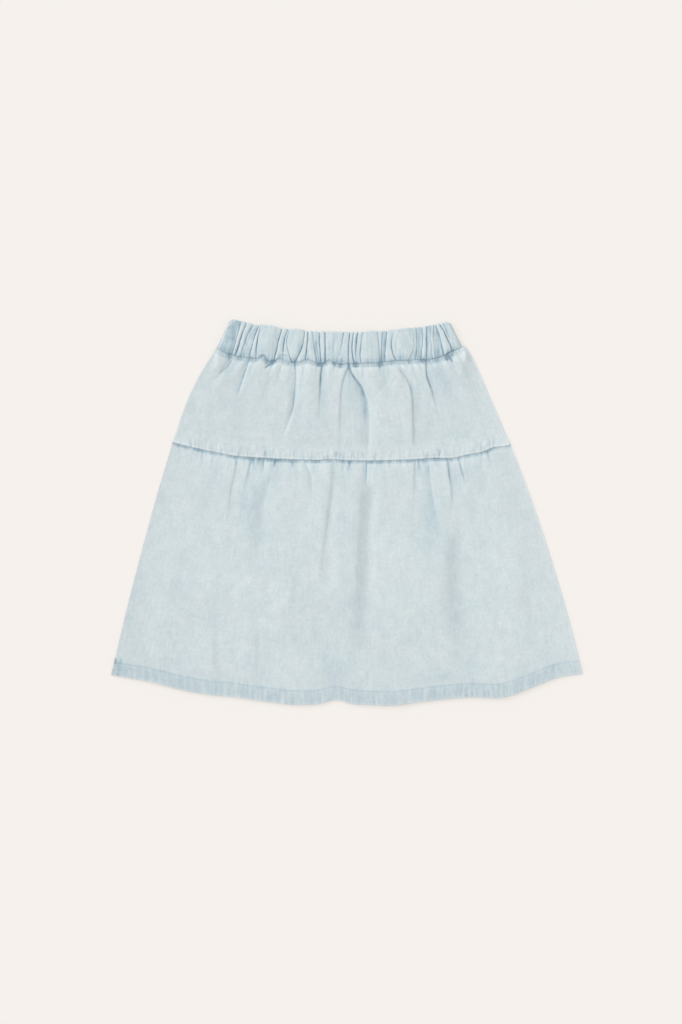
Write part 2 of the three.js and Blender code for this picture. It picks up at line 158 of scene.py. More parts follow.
FRONT_CREASES = table(
    Crease,
    (-117.7, -122.9, -128.5, 2.0, 0.00, 0.5, 0.6, 0.7),
    (-112.1, -118.7, -124.9, 1.6, 0.15, 0.6, 0.9, 0.9),
    (-104.7, -113.1, -119.3, 0.5, 0.75, 0.9, 0.4, 0.5),
    (-98.0, -104.2, -109.2, 1.8, 0.00, 0.9, 0.6, 0.7),
    (-95.2, -100.2, -101.6, 2.9, 0.05, 0.2, 1.0, 0.8),
    (-71.7, -77.1, -80.9, 1.8, 0.15, 1.0, 1.0, 0.9),
    (-65.1, -70.0, -70.9, 1.2, 0.10, 0.5, 0.9, 0.2),
    (-62.6, -66.6, -60.5, 2.6, 0.25, 0.3, 0.6, 0.9),
    (-47.4, -49.8, -57.7, 1.5, 0.00, 0.6, 0.6, 0.9),
    (-42.8, -43.9, -46.5, 1.5, 0.35, 1.0, 1.0, 0.9),
    (-37.5, -36.4, -33.0, 0.7, 0.70, 0.4, 0.4, 0.9),
    (-30.2, -29.7, -28.3, 1.5, 0.20, 0.8, 0.9, 1.0),
    (-24.1, -24.1, -23.4, 1.9, 0.15, 0.7, 0.9, 1.0),
    (-12.3, -14.6, -15.1, 1.5, 0.25, 0.1, 0.15, 0.2),
    (-3.2, -6.7, -10.6, 1.6, 0.20, 0.9, 0.3, 0.2),
    (4.1, 2.5, 2.2, 1.3, 0.05, 0.9, 0.7, 0.6),
    (8.5, 6.0, 9.3, 1.8, 0.10, 0.7, 0.9, 0.8),
    (13.1, 10.3, 11.8, 1.6, 0.00, 1.0, 0.8, 0.0),
    (18.5, 15.8, 16.2, 2.7, 0.10, 0.5, 0.6, 0.5),
    (34.2, 36.4, 37.0, 1.3, 0.10, 0.5, 0.5, 0.5),
    (39.8, 39.2, 38.4, 0.4, 0.85, 0.6, 0.4, 0.8),
    (44.8, 43.7, 42.6, 1.8, 0.05, 0.7, 0.5, 0.5),
    (54.3, 50.4, 56.0, 2.6, 0.15, 0.2, 0.8, 0.9),
    (72.2, 75.6, 68.9, 1.2, 0.15, 0.2, 0.2, 0.5),
    (77.8, 78.5, 76.7, 0.5, 0.78, 0.4, 0.3, 0.6),
    (85.1, 84.6, 84.0, 1.7, 0.10, 0.5, 0.6, 0.6),
    (90.2, 89.7, 89.5, 0.7, 0.80, 0.8, 0.9, 0.9),
    (94.6, 95.0, 96.0, 1.3, 0.10, 0.4, 0.3, 0.4),
    (97.0, 98.0, 99.0, 0.6, 0.68, 0.6, 0.3, 0.4),
    (98.8, 105.0, 109.0, 1.8, 0.10, 1.0, 0.6, 0.8),
    (103.0, 112.6, 118.4, 1.5, 0.15, 1.0, 1.0, 1.0),
    (107.6, 114.4, 121.5, 1.5, 0.35, 0.5, 0.3, 0.1),
)
SIDE_RISE, SIDE_BLUE = 1.3, 1.65  # the same for the gather at the left side, the bluest of all
BACK_GATHERS = 26

# Small marks on the front casing, each along a line of places: a ridge is worn pale, and a nick is
# dark, with a minus, as painted shade, such as a fold's shadow.
Mark = namedtuple("Mark", "line width pale")
CASING_MARKS = table(
    Mark,
    (((-124.2, 214.2), (-133.3, 208.0), (-138.2, 200.3), (-141.0, 194.0)), 0.7, 0.8),
    (((-134.2, 214.6), (-129.0, 216.0), (-123.5, 214.8)), 0.7, -0.4),
    (((-98.3, 194.0), (-94.1, 201.0), (-87.8, 206.0)), 0.6, 0.5),
    (((-91.0, 201.6), (-84.2, 200.2)), 0.6, -0.25),
    (((-98.8, 177.2), (-92.5, 178.0), (-88.3, 174.2)), 0.6, 0.6),
    (((-98.2, 173.8), (-92.6, 175.2), (-89.2, 171.2)), 0.6, -0.45),
    (((-77.2, 178.6), (-71.6, 177.8), (-64.0, 177.0)), 0.6, 0.7),
    (((-74.4, 175.2), (-64.6, 175.2)), 0.6, -0.4),
    (((-7.2, 198.0), (-11.6, 187.5), (-13.0, 177.6), (-12.6, 170.6)), 0.8, 0.5),
    (((66.9, 202.4), (71.0, 192.0), (75.2, 184.2)), 0.7, 0.5),
    (((75.3, 183.5), (71.1, 178.6), (69.0, 171.2)), 0.7, 0.65),
    (((97.8, 190.0), (98.4, 178.8)), 0.6, 0.5),
)

# Places along the waist seam where the elastic bunches the cloth up into a dark knot.
Knot = namedtuple("Knot", "x width dark")
WAIST_KNOTS = table(
    Knot,
    (-131.0, 2.4, 0.9),
    (-121.0, 4.0, 0.3),
    (-107.0, 3.0, 0.45),
    (-90.0, 2.2, 0.7),
    (-82.0, 3.0, 1.0),
    (-59.4, 3.0, 0.8),
    (-28.0, 4.6, 1.1),
    (-14.0, 1.6, 0.8),
    (-6.5, 2.0, 1.0),
    (2.2, 1.2, 0.9),
    (9.8, 2.2, 1.1),
    (37.6, 2.6, 0.7),
    (52.0, 3.0, 0.4),
    (70.0, 1.8, 0.35),
    (86.5, 4.0, 0.8),
    (101.0, 4.0, 0.35),
    (113.0, 2.2, 0.9),
    (118.5, 1.6, 0.9),
)

# Short strokes just below the waist seam, where the tier's gathers start. The dark ones, with a minus, are
# painted shade between the gathers.
WAIST_MARKS = table(
    Mark,
    (((-92.0, 160.0), (-87.5, 163.5), (-84.0, 168.5)), 0.8, -1.0),
    (((-86.0, 160.5), (-82.0, 166.0)), 0.7, -0.9),
    (((-31.5, 165.6), (-27.6, 163.6), (-23.6, 165.2)), 0.9, -0.9),
    (((-15.5, 166.6), (-12.6, 163.8)), 0.7, -0.8),
    (((-8.6, 165.4), (-4.8, 163.6)), 0.8, -0.9),
    (((1.6, 165.0), (2.6, 158.5)), 0.8, -0.9),
    (((6.6, 165.6), (9.2, 162.2), (12.0, 162.4)), 0.8, -1.0),
    (((36.4, 167.2), (37.4, 161.2)), 0.8, -0.8),
    (((39.6, 166.6), (40.8, 162.4)), 0.6, -0.5),
    (((68.6, 168.4), (70.6, 164.6)), 0.6, -0.5),
    (((83.6, 168.4), (87.4, 165.0)), 0.7, -0.7),
    (((109.6, 174.0), (113.8, 168.2)), 0.7, -0.8),
    (((114.6, 174.6), (119.0, 166.6)), 0.8, -1.0),
    (((-128.6, 173.0), (-129.6, 166.0)), 0.8, -0.6),
    (((-80.4, 167.0), (-79.8, 158.0)), 0.8, 0.6),
    (((-73.4, 168.0), (-71.6, 158.6)), 0.7, 0.5),
    (((-60.6, 166.6), (-60.2, 156.0)), 0.8, 0.5),
    (((-52.4, 166.0), (-49.6, 155.0)), 0.8, 0.5),
    (((-37.6, 166.0), (-35.4, 157.0)), 0.8, 0.4),
    (((-22.6, 162.0), (-20.4, 152.0)), 0.8, 0.5),
    (((14.6, 164.0), (16.0, 155.0)), 0.8, 0.5),
    (((26.0, 166.0), (27.4, 157.0)), 0.8, 0.5),
    (((46.0, 164.8), (51.4, 156.4)), 0.8, 0.6),
    (((58.8, 165.0), (66.0, 159.6)), 0.8, 0.5),
    (((75.6, 165.6), (80.8, 158.0)), 0.7, 0.5),
    (((122.0, 173.6), (126.0, 166.6)), 0.7, 0.5),
)

# ---- Folds of the tiers ----
# A fold follows a line of places. The cloth dips at the line by its depth. The dip reaches far on its
# valley's side, which is to the right or, with a minus, to the left, and ends within its edge on the
# other side, where the cloth rises again over a spread. A pinch is the tight dark start of a crease,
# and it is gone by the share "loose" of the line. The fold is whole from the share "begins" of its line
# to the share "fades", and has died away at the line's end.

Fold = namedtuple("Fold", "line depth valley edge rise spread pinch loose begins fades")

UPPER_FRONT_FOLDS = table(
    Fold,
    (
        ((-132, 174), (-132, 164), (-142, 155), (-151, 144), (-166, 122)),
        1.4, -6, 4, 0.5, 8, 0.6, 0.7, 0, 0.3,
    ),
    (((-109, 170), (-114, 156), (-120, 138), (-126, 124)), 1.4, -6, 1.2, 0.9, 6, 0.75, 1.2, 0, 0.6),
    (((-81, 168), (-86, 164), (-92, 160)), 1.2, -3, 1.0, 0.6, 4, 1.0, 1.2, 0, 0.5),
    (((-88, 168), (-90, 161)), 0.8, -2, 0.8, 0.2, 3, 0.6, 0.9, 0, 0.5),
    (
        ((-58, 167), (-57, 152), (-58, 136), (-60, 118), (-65, 102), (-77, 70)),
        1.6, -6, 1.6, 1.2, 8, 0.6, 0.9, 0, 0.6,
    ),
    (((-27, 166), (-29, 150), (-29.7, 129), (-31, 92)), 1.8, 6, 1.2, 1.1, 7, 1.3, 0.5, 0, 0.2),
    (((2.5, 163), (-4, 145), (-6.2, 125), (-7.3, 66)), 1.0, 9, 1.5, 0.6, 7, 0.55, 0.5, 0, 0.5),
    (
        ((3, 163), (6, 154), (15, 141), (20, 129), (23.5, 112), (23.5, 58)),
        2.3, -8, 1.6, 1.8, 9, 1.3, 0.44, 0, 0.7,
    ),
    (((35, 168), (40, 151)), 0.9, 2.5, 1.0, 0.3, 4, 0.5, 0.5, 0, 0.3),
    (
        ((50, 164), (60, 158), (69, 145), (73, 134), (75, 114), (76, 64)),
        1.3, 6, 1.3, 1.7, 8, 0.3, 0.7, 0.25, 0.75,
    ),
    (((89, 169), (90, 152), (96, 134), (101, 116), (105, 102)), 1.4, 6, 1.1, 1.0, 7, 0.95, 0.75, 0, 0.4),
    (((110, 176), (122, 165)), 1.0, 3, 1.0, 0.5, 4, 0.6, 0.7, 0, 0.3),
    (((-45, 138), (-50, 118), (-62, 80)), 0.5, -7, 6, 0.2, 12, 0, 1, 0.3, 0.5),
    (((112, 150), (120, 120), (126, 90)), 0.7, 8, 6, 0.2, 12, 0, 1, 0.3, 0.4),
    (((-110, 120), (-116, 92), (-120, 66)), 0.5, -7, 6, 0.2, 12, 0, 1, 0.4, 0.5),
    (((57, 152), (52, 146), (49, 136)), 0.6, 2, 1.2, 0.3, 4, 0, 1, 0.2, 0.4),
    (((128, 170), (144, 141), (156, 112)), 0.6, 5, 3, 0.3, 9, 0, 1, 0.15, 0.4),
    (((-92, 136), (-84, 148), (-79, 158)), 0.4, 2.4, 2, 0.2, 5, 0, 1, 0.3, 0.5),
    (((64, 166), (70, 158)), 0.6, 2, 1, 0.3, 3, 0.3, 0.8, 0, 0.4),
    (((17, 159), (18.5, 147)), 0.4, 2, 1, 0.2, 3, 0.4, 1.1, 0, 0.4),
    (((-66, 168), (-63, 160)), 0.5, 2, 1, 0.3, 3, 0.3, 0.8, 0, 0.4),
    (((104, 62), (107, 72)), 0.8, 2, 1, 0.3, 3, 0.5, 0.9, 0, 0.4),
)

LOWER_FRONT_FOLDS = table(
    Fold,
    (((-189, 78), (-189, 63)), 0.5, 2, 1, 0.2, 3, 0.4, 0.7, 0, 0.2),
    (((-180, 76), (-181, 59)), 0.5, 2, 1, 0.2, 3, 0.4, 0.7, 0, 0.2),
    (((-162, 74), (-162, 46)), 0.7, 2, 1, 0.3, 4, 0.35, 0.7, 0, 0.2),
    (((-122, 64), (-125, 44), (-129, 24), (-134, -21)), 0.9, 5, 1.3, 0.4, 6, 0.4, 0.35, 0, 0.4),
    (((-106, 62), (-111, 38), (-116, 16)), 0.9, 4, 1.3, 0.4, 5, 0.45, 0.6, 0, 0.4),
    (((-93.5, 62), (-93, 50), (-95, 38)), 1.4, -4, 1, 0.5, 4, 1.0, 0.8, 0, 0.5),
    (((-92, 46), (-95, 10), (-100, -43), (-110, -88)), 1.2, -14, 11, 0.4, 16, 0, 1, 0.2, 0.4),
    (((-80, 62), (-81, 46)), 1.2, 3, 1, 0.5, 4, 1.0, 0.8, 0, 0.5),
    (((-84, 42), (-92, 18), (-96, -2)), 0.6, -4, 3, 0.3, 7, 0, 1, 0.2, 0.5),
    (((-47.4, 60), (-45, 50), (-40, 38), (-38, 7)), 1.2, -4, 1.1, 0.8, 6, 0.6, 0.35, 0, 0.3),
    (((-14, 60), (-17, 16), (-23, -30), (-28, -68), (-34, -110)), 1.3, 7, 3.4, 0.7, 9, 0.1, 0.4, 0, 0.4),
    (((-56, -66), (-62, -124)), 0.5, 5, 4, 0.3, 8, 0, 1, 0.3, 0.5),
    (((-146, -120), (-148, -184)), 0.4, 5, 3, 0.2, 7, 0, 1, 0.4, 0.9),
    (((-99, -125), (-100, -190)), 0.5, 5, 3, 0.3, 7, 0, 1, 0.4, 0.9),
    (((22.5, 60), (22, 40), (22, 22)), 1.6, -4, 1.2, 0.8, 6, 1.0, 0.9, 0, 0.5),
    (
        ((24, 44), (23, 10), (20, -38), (17, -88), (14, -133), (10, -178)),
        2.6, -13, 9, 0.5, 18, 0, 1, 0.15, 0.6,
    ),
    (((60, 62), (62, 48)), 0.8, 2.5, 1, 0.3, 3, 0.5, 0.8, 0, 0.4),
    (((77, 57), (76, 21), (73, -6)), 0.9, 5, 1.6, 0.6, 6, 0.25, 0.5, 0, 0.3),
    (((89, 62), (89, 53)), 1.5, 2, 1.2, 0.2, 3, 1.0, 1.0, 0, 0.7),
    (((91, 60), (94, 28), (99, 0), (106, -24), (114, -50)), 0.8, -5, 2.2, 0.3, 7, 0.18, 0.9, 0, 0.4),
    (((117, 6), (119, -58), (120, -96), (123, -133), (128, -190)), 2.4, 15, 11, 0.5, 18, 0, 1, 0.3, 0.5),
    (((113, 62), (115, 42), (118, 24), (118, -4)), 1.5, 5, 1.1, 0.6, 6, 0.85, 0.55, 0, 0.4),
    (((125, 60), (130, 42), (134, 27)), 1.0, 3, 1, 0.4, 4, 0.55, 1.0, 0, 0.4),
    (((158, 66), (161, 50)), 0.5, 2, 1, 0.2, 4, 0.3, 0.7, 0, 0.3),
    (((-143, 70), (-146, 40), (-158, 0)), 0.4, 4, 3, 0.3, 8, 0, 1, 0, 0.2),
    (((42, 58), (44, 30), (49, -20)), 0.4, 4, 3, 0.3, 8, 0, 1, 0, 0.2),
    (((4, 58), (2, 40)), 0.7, 2, 1, 0.3, 4, 0.4, 0.7, 0, 0.3),
    (((-60, 58), (-61, 46)), 0.6, 2, 1, 0.2, 4, 0.3, 0.7, 0, 0.3),
    (((195, -20), (204, -90), (214, -180)), 0.5, 9, 7, 0.3, 14, 0, 1, 0.3, 0.7),
    (((-176, -20), (-192, -100), (-202, -184)), 0.4, 9, 7, 0.2, 14, 0, 1, 0.3, 0.7),
)

# The back lies on its outer side, where its creases are shallow grooves.
UPPER_BACK_FOLDS = table(
    Fold,
    (((-128, 176), (-140, 152), (-152, 128)), 0.7, 4, 2, 0, 7, 0.5, 0.6, 0, 0.3),
    (((-112, 172), (-122, 148), (-130, 112)), 0.8, 3, 2, 0, 7, 0.7, 0.5, 0, 0.3),
    (((-90, 168), (-94, 158)), 0.7, 2, 1, 0, 4, 0.8, 1.0, 0, 0.5),
    (((-66, 166), (-70, 140), (-80, 88)), 0.9, -5, 2, 0, 8, 0.9, 0.5, 0, 0.4),
    (((-44, 164), (-46, 150)), 0.6, 2, 1, 0, 4, 0.6, 0.9, 0, 0.5),
    (((-20, 163), (-18, 130), (-22, 96)), 0.9, 4, 2, 0, 7, 0.8, 0.5, 0, 0.3),
    (((8, 163), (5, 140), (6, 100)), 0.9, -5, 2, 0, 8, 0.5, 0.5, 0, 0.4),
    (((30, 165), (38, 138), (41, 84)), 0.9, -4, 2, 0, 8, 0.9, 0.4, 0, 0.4),
    (((54, 166), (56, 154)), 0.6, 2, 1, 0, 4, 0.6, 0.9, 0, 0.5),
    (((72, 168), (84, 140), (92, 108)), 0.8, 4, 2, 0, 7, 0.7, 0.6, 0, 0.3),
    (((96, 171), (102, 158)), 0.7, 2, 1, 0, 4, 0.7, 1.0, 0, 0.5),
    (((112, 175), (126, 142), (138, 96)), 0.8, 3, 2, 0, 7, 0.8, 0.5, 0, 0.3),
)
LOWER_BACK_FOLDS = table(
    Fold,
    (((-164, 72), (-168, 52)), 0.7, 3, 1.5, 0, 6, 0.5, 0.8, 0, 0.4),
    (((-140, 66), (-152, 10), (-166, -70)), 0.9, 6, 4, 0, 9, 0.5, 0.3, 0, 0.3),
    (((-110, 64), (-113, 36)), 0.8, -3, 1.5, 0, 6, 0.7, 0.8, 0, 0.4),
    (((-84, 62), (-90, 12), (-98, -90)), 1.0, -9, 5, 0, 12, 0.8, 0.3, 0, 0.4),
    (((-60, 60), (-61, 42)), 0.7, 2, 1, 0, 5, 0.6, 0.9, 0, 0.4),
    (((-34, 60), (-36, 28)), 0.8, 3, 2, 0, 6, 0.8, 0.6, 0, 0.3),
    (((-10, 59), (-10, 40)), 0.7, 2, 1, 0, 5, 0.5, 0.9, 0, 0.4),
    (((12, 60), (10, -10), (4, -120)), 1.1, 11, 7, 0, 14, 0.6, 0.25, 0, 0.5),
    (((38, 60), (40, 36)), 0.7, -2, 1, 0, 5, 0.7, 0.9, 0, 0.4),
    (((60, 60), (64, 22)), 0.8, 3, 2, 0, 6, 0.8, 0.6, 0, 0.3),
    (((84, 62), (86, 44)), 0.7, 2, 1, 0, 5, 0.5, 0.9, 0, 0.4),
    (((104, 64), (112, 8), (120, -80)), 1.0, -9, 5, 0, 12, 0.8, 0.3, 0, 0.4),
    (((130, 67), (135, 44)), 0.7, 3, 1.5, 0, 6, 0.6, 0.8, 0, 0.4),
    (((150, 70), (164, 10), (180, -60)), 0.9, 6, 4, 0, 9, 0.5, 0.3, 0, 0.3),
)

# Soft places with half a width across and half a length down. A billow rises, or sinks with a minus,
# and a wash has stayed bluer. Some washes of the upper tier, along its folds and over its shoulders, are
# painted shade, in blue.
Billow = namedtuple("Billow", "x y across down rise")
Wash = namedtuple("Wash", "x y across down blue")

UPPER_FRONT_BILLOWS = table(
    Billow,
    (50, 112, 17, 34, 1.4),
    (-100, 128, 18, 28, 1.0),
    (-42, 128, 9, 26, 0.9),
    (128, 130, 14, 26, 0.9),
    (-150, 150, 9, 12, 0.7),
    (8, 98, 9, 34, -0.6),
)
LOWER_FRONT_BILLOWS = table(
    Billow,
    (54, -70, 26, 95, 1.5),
    (178, -75, 28, 95, 1.2),
    (-64, -40, 24, 80, 1.2),
    (-150, -60, 30, 90, 0.8),
    (-62, -195, 24, 30, 1.0),
    (52, -200, 30, 34, 1.1),
    (174, -185, 28, 34, 1.2),
    (-170, -175, 28, 34, 0.7),
    (-12, -205, 13, 26, -0.8),
)
# Bluer washes, and blue painted shade along the folds and over the shoulders.
UPPER_FRONT_WASHES_AND_SHADE = table(
    Wash,
    (-132, 161, 6, 11, 0.48),
    (-110, 166, 4, 11, 0.40),
    (-116, 152, 6, 14, 0.15),
    (-148, 128, 8, 16, 0.16),
    (-25, 130, 6, 24, 0.35),
    (6, 144, 7, 20, 0.45),
    (10, 112, 11, 28, 0.20),
    (17, 134, 3.5, 9, 0.8),
    (20, 115, 3, 16, 0.6),
    (72, 138, 2.2, 8, 0.45),
    (80, 134, 5, 26, 0.25),
    (101, 158, 8, 20, 0.44),
    (111, 138, 11, 24, 0.32),
    (129, 156, 9, 16, 0.17),
    (-60, 118, 7, 26, 0.12),
    (-88, 148, 10, 8, 0.12),
    (36, 160, 5, 6, 0.25),
)
LOWER_FRONT_WASHES = table(
    Wash,
    (-113, 10, 8, 26, 0.45),
    (-103, 0, 10, 44, 0.22),
    (-98, 57, 22, 5, 0.40),
    (-88, 35, 12, 18, 0.22),
    (-81, -33, 9, 14, 0.14),
    (-4, -22, 8, 30, 0.28),
    (93, 2, 10, 32, 0.42),
    (88, -32, 10, 13, 0.25),
    (87, 48, 12, 13, 0.30),
    (121, 45, 8, 14, 0.25),
    (139, 47, 9, 9, 0.22),
    (137, -62, 8, 15, 0.18),
    (182, -6, 9, 20, 0.14),
    (50, -62, 9, 9, 0.10),
    (-182, -170, 9, 8, 0.20),
    (-110, -134, 8, 9, 0.14),
    (-110, -170, 9, 9, 0.22),
    (-14, -178, 11, 13, 0.28),
    (3, -168, 9, 13, 0.22),
    (107, -184, 14, 5, 0.45),
    (222, -165, 13, 7, 0.20),
    (-256, -172, 5, 9, 0.3),
    (-238, -94, 6, 9, 0.12),
    (200, -120, 14, 26, 0.12),
    (2, -105, 10, 12, 0.15),
    (34, -105, 10, 12, 0.12),
    (104, -20, 10, 26, 0.20),
    (-62, -10, 8, 30, 0.12),
    (-160, -60, 12, 40, 0.08),
)

# Broad hollows and over-bright places, darkened with grey painted shade.
Grey = namedtuple("Grey", "x y across down grey")
UPPER_FRONT_PAINTED_SHADES = table(
    Grey,
    (-62, 122, 4, 30, 0.3),
    (14, 126, 5, 26, 0.35),
    (19, 92, 4, 26, 0.3),
    (81, 106, 4, 36, 0.25),
    (-8, 100, 3, 34, 0.2),
    (-126, 128, 10, 20, 0.1),
    (-142, 158, 16, 18, 0.22),
    (126, 156, 18, 20, 0.22),
    (0, 60, 300, 22, 0.12),
)
LOWER_FRONT_PAINTED_SHADES = table(
    Grey,
    (18, -66, 8, 75, 0.95),
    (22, 20, 6, 24, 0.35),
    (123, -70, 11, 85, 0.35),
    (117, 10, 5, 26, 0.2),
    (-98, -20, 9, 44, 0.22),
    (-24, -40, 5, 50, 0.18),
    (-130, 10, 6, 40, 0.12),
    (0, -150, 400, 80, 0.14),
)

# ---- Where the frame has the skirt ----
SHIFT_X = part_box("lower_tier_front")[0].x / MM - HEM.left[0]
SHIFT_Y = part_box("waistband_front")[1].y / MM - WAIST_TOP.left[1]


# ---- Shapes of numbers ----
LATTICE = 256  # how many random heights a soft noise has along each of its two directions


def smooth(value, low, high):
    """From 0 at low to 1 at high, with no kink at either."""
    t = np.clip((value - low) / (high - low), 0, 1)
    return t * t * (3 - 2 * t)


def bell(distance, width):
    """1 at no distance, and dying away over the width."""
    return np.exp(-((distance / width) ** 2))


def blend(a, b, share):
    return a + (b - a) * share


def soft_noise(seed, a, b, size_a, size_b):
    """Smooth random heights from -1 to 1, with bumps of these sizes along a and along b."""
    lattice = np.random.RandomState(seed).uniform(-1, 1, (LATTICE, LATTICE))
    a, b = np.broadcast_arrays(np.asarray(a) / size_a, np.asarray(b) / size_b)
    i, j = np.floor(a).astype(int), np.floor(b).astype(int)
    s, t = smooth(a - i, 0, 1), smooth(b - j, 0, 1)
    near, far = (
        blend(lattice[(i + k) % LATTICE, j % LATTICE], lattice[(i + k) % LATTICE, (j + 1) % LATTICE], t)
        for k in (0, 1)
    )
    return blend(near, far, s)


def patchy(seed, x, y, size_x, size_y):
    """A factor around 0.8 that makes a crease's dark stroke stronger and weaker on its way."""
    return 0.8 + 0.35 * soft_noise(seed, x, y, size_x, size_y)


def averaged(field, down, across):
    """A field averaged over this many rows and columns to each side."""
    for axis, reach in ((0, down), (1, across)):
        margin = [(0, 0), (0, 0)]
        margin[axis] = (reach + 1, reach)
        total = np.cumsum(np.pad(field, margin, mode="edge"), axis=axis)
        size = 2 * reach + 1
        count = total.shape[axis]
        upper = np.take(total, range(size, count), axis=axis)
        lower = np.take(total, range(0, count - size), axis=axis)
        field = (upper - lower) / size
    return field


def shares(length, parts):
    """Shares of a length at the steps of its parts. A part is its length, or None for the rest, and its
    steps."""
    given = sum(size for size, _ in parts if size)
    marks, at = [0.0], 0.0
    for size, steps in parts:
        size = length - given if size is None else size
        marks += [at + size * (k + 1) / steps for k in range(steps)]
        at += size
    return np.array(marks) / length


# ---- Lines and plans ----
def across(line, share):
    """The places of a line at shares of its width."""
    x = blend(line.left[0], line.right[0], share)
    hanging = line.sag * (1 - np.abs(2 * share - 1) ** line.flatness)
    y = blend(line.left[1], line.right[1], share) - hanging
    for wave in line.waves:
        y = y - wave.drop * bell(x - wave.x, wave.width)
    return x, y


def share_of(line, x):
    return (x - line.left[0]) / (line.right[0] - line.left[0])


def plan(upper, lower, bows, u, v):
    """Where the cloth between two lines lies, seen from above, at shares u across and v down."""
    top_x, top_y = across(upper, u)
    foot_x, foot_y = across(lower, u)
    down = np.maximum(v, 0)
    bowed = [bow.out * 4 * down**bow.skew * (1 - down**bow.skew) for bow in bows]
    x = blend(top_x, foot_x, v) + blend(-bowed[0], bowed[1], u)
    return x, blend(top_y, foot_y, v)


# ---- Folds ----
CURVE_STEPS = 8  # between two places of a line
PINCHED_SHARPNESS, SOFT_SHARPNESS = 1.6, 2.0  # a lower one gives a fold a narrower floor


def eased(line):
    """A smooth curve through the places of a line."""
    spots = [np.array(p, float) for p in line]
    spots = [2 * spots[0] - spots[1], *spots, 2 * spots[-1] - spots[-2]]
    curve = []
    for a, b, c, d in zip(spots, spots[1:], spots[2:], spots[3:]):
        for t in np.linspace(0, 1, CURVE_STEPS, endpoint=False):
            bend = (2 * a - 5 * b + 4 * c - d) * t * t + (3 * b - a - 3 * c + d) * t**3
            curve.append(b + 0.5 * ((c - a) * t + bend))
    return [*curve, spots[-2]]


def beside(line, x, y):
    """How far to the right of a line each place lies, and its share of the way along the line."""
    curve = eased(line)
    lengths = [np.linalg.norm(b - a) for a, b in zip(curve, curve[1:])]
    whole, done = sum(lengths), 0.0
    nearest, side, along = np.full(x.shape, np.inf), np.zeros(x.shape), np.zeros(x.shape)
    for a, b, length in zip(curve, curve[1:], lengths):
        step = (b - a) / length
        t = np.clip((x - a[0]) * step[0] + (y - a[1]) * step[1], 0, length)
        off_x, off_y = x - a[0] - t * step[0], y - a[1] - t * step[1]
        distance = np.hypot(off_x, off_y)
        closer = distance < nearest
        nearest = np.where(closer, distance, nearest)
        side = np.where(closer, np.sign(step[0] * off_y - step[1] * off_x), side)
        along = np.where(closer, (done + t) / whole, along)
        done += length
    return nearest * side, along


def shoulder(distance):
    """A billow that starts at a crease, is highest one spread away from it and then dies away."""
    q = np.maximum(distance, 0)
    return q * np.exp(1 - q)


def fold_heights(folds, x, y):
    """The height that the folds add, and how dark the pinched starts of their creases are."""
    height, pinched = np.zeros(x.shape), np.zeros(x.shape)
    uneven = patchy(9, x, y, 4, 7)
    for fold in folds:
        side, along = beside(fold.line, x, y)
        into_valley = side * np.sign(fold.valley)
        widening = 0.7 + 0.5 * along
        strength = 1 - smooth(along, fold.fades, 1.0)
        if fold.begins:
            strength = strength * smooth(along, 0, fold.begins)
        reach = np.where(into_valley > 0, abs(fold.valley), fold.edge) * widening
        sharpness = PINCHED_SHARPNESS if fold.pinch else SOFT_SHARPNESS
        dip = np.exp(-((np.abs(side) / reach) ** sharpness))
        height += strength * (fold.rise * shoulder(-into_valley / fold.spread) - fold.depth * dip)
        tight = 1 - smooth(along, 0.4 * fold.loose, fold.loose)
        pinched = np.maximum(pinched, uneven * fold.pinch * bell(side, widening) * tight)
    return height, pinched


def soft_places(places, x, y):
    """The sum of billows, washes or places of painted shade, each by the last of its values."""
    return sum(p[-1] * bell(x - p.x, p.across) * bell(y - p.y, p.down) for p in places)


def marked(marks, x, y):
    """How pale (or, below zero, how dark) the small marks are at each place."""
    total = np.zeros(x.shape)
    for mark in marks:
        side, along = beside(mark.line, x, y)
        tapered = np.sin(np.pi * np.clip(along, 0.04, 0.96)) ** 0.4
        total += mark.pale * bell(side, mark.width) * tapered
    return total


def knotted(x, y, seed):
    """How dark the waist seam is: painted shade in a dimple at each stitch, and the knots, which are
    streaked.
    """
    dimple_shade = 0.5 + 0.5 * np.sin(2 * np.pi * x / STITCH_PITCH)
    streaks = 0.7 + 0.6 * soft_noise(seed, x, y, 1.2, 9)
    knots = sum(knot.dark * bell(x - knot.x, knot.width) for knot in WAIST_KNOTS) * streaks
    return dimple_shade, np.clip(knots, 0, 1)


def gathers(u, down, marks, heights, reaches):
    """Small arches between the marks of a sewn edge, dying away down the cloth, and the creases between."""
    place = np.clip(np.searchsorted(marks, u, side="right") - 1, 0, len(marks) - 2)
    t = (u - marks[place]) / (marks[place + 1] - marks[place])
    arch = np.sin(np.pi * np.clip(t, 0, 1)) ** 0.6
    fade = np.exp(-((down / reaches[place]) ** 1.3))
    pinch = (1 - arch) ** 2 * np.exp(-down / (0.6 * reaches[place]))
    return heights[place] * arch * fade, pinch


def seeded_marks(seed, count, unevenness):
    """Uneven shares from 0 to 1 for the creases of a sewn edge."""
    random = np.random.RandomState(seed)
    steps = 1 + unevenness * random.uniform(-1, 1, count)
    return np.concatenate([[0], np.cumsum(steps) / steps.sum()])


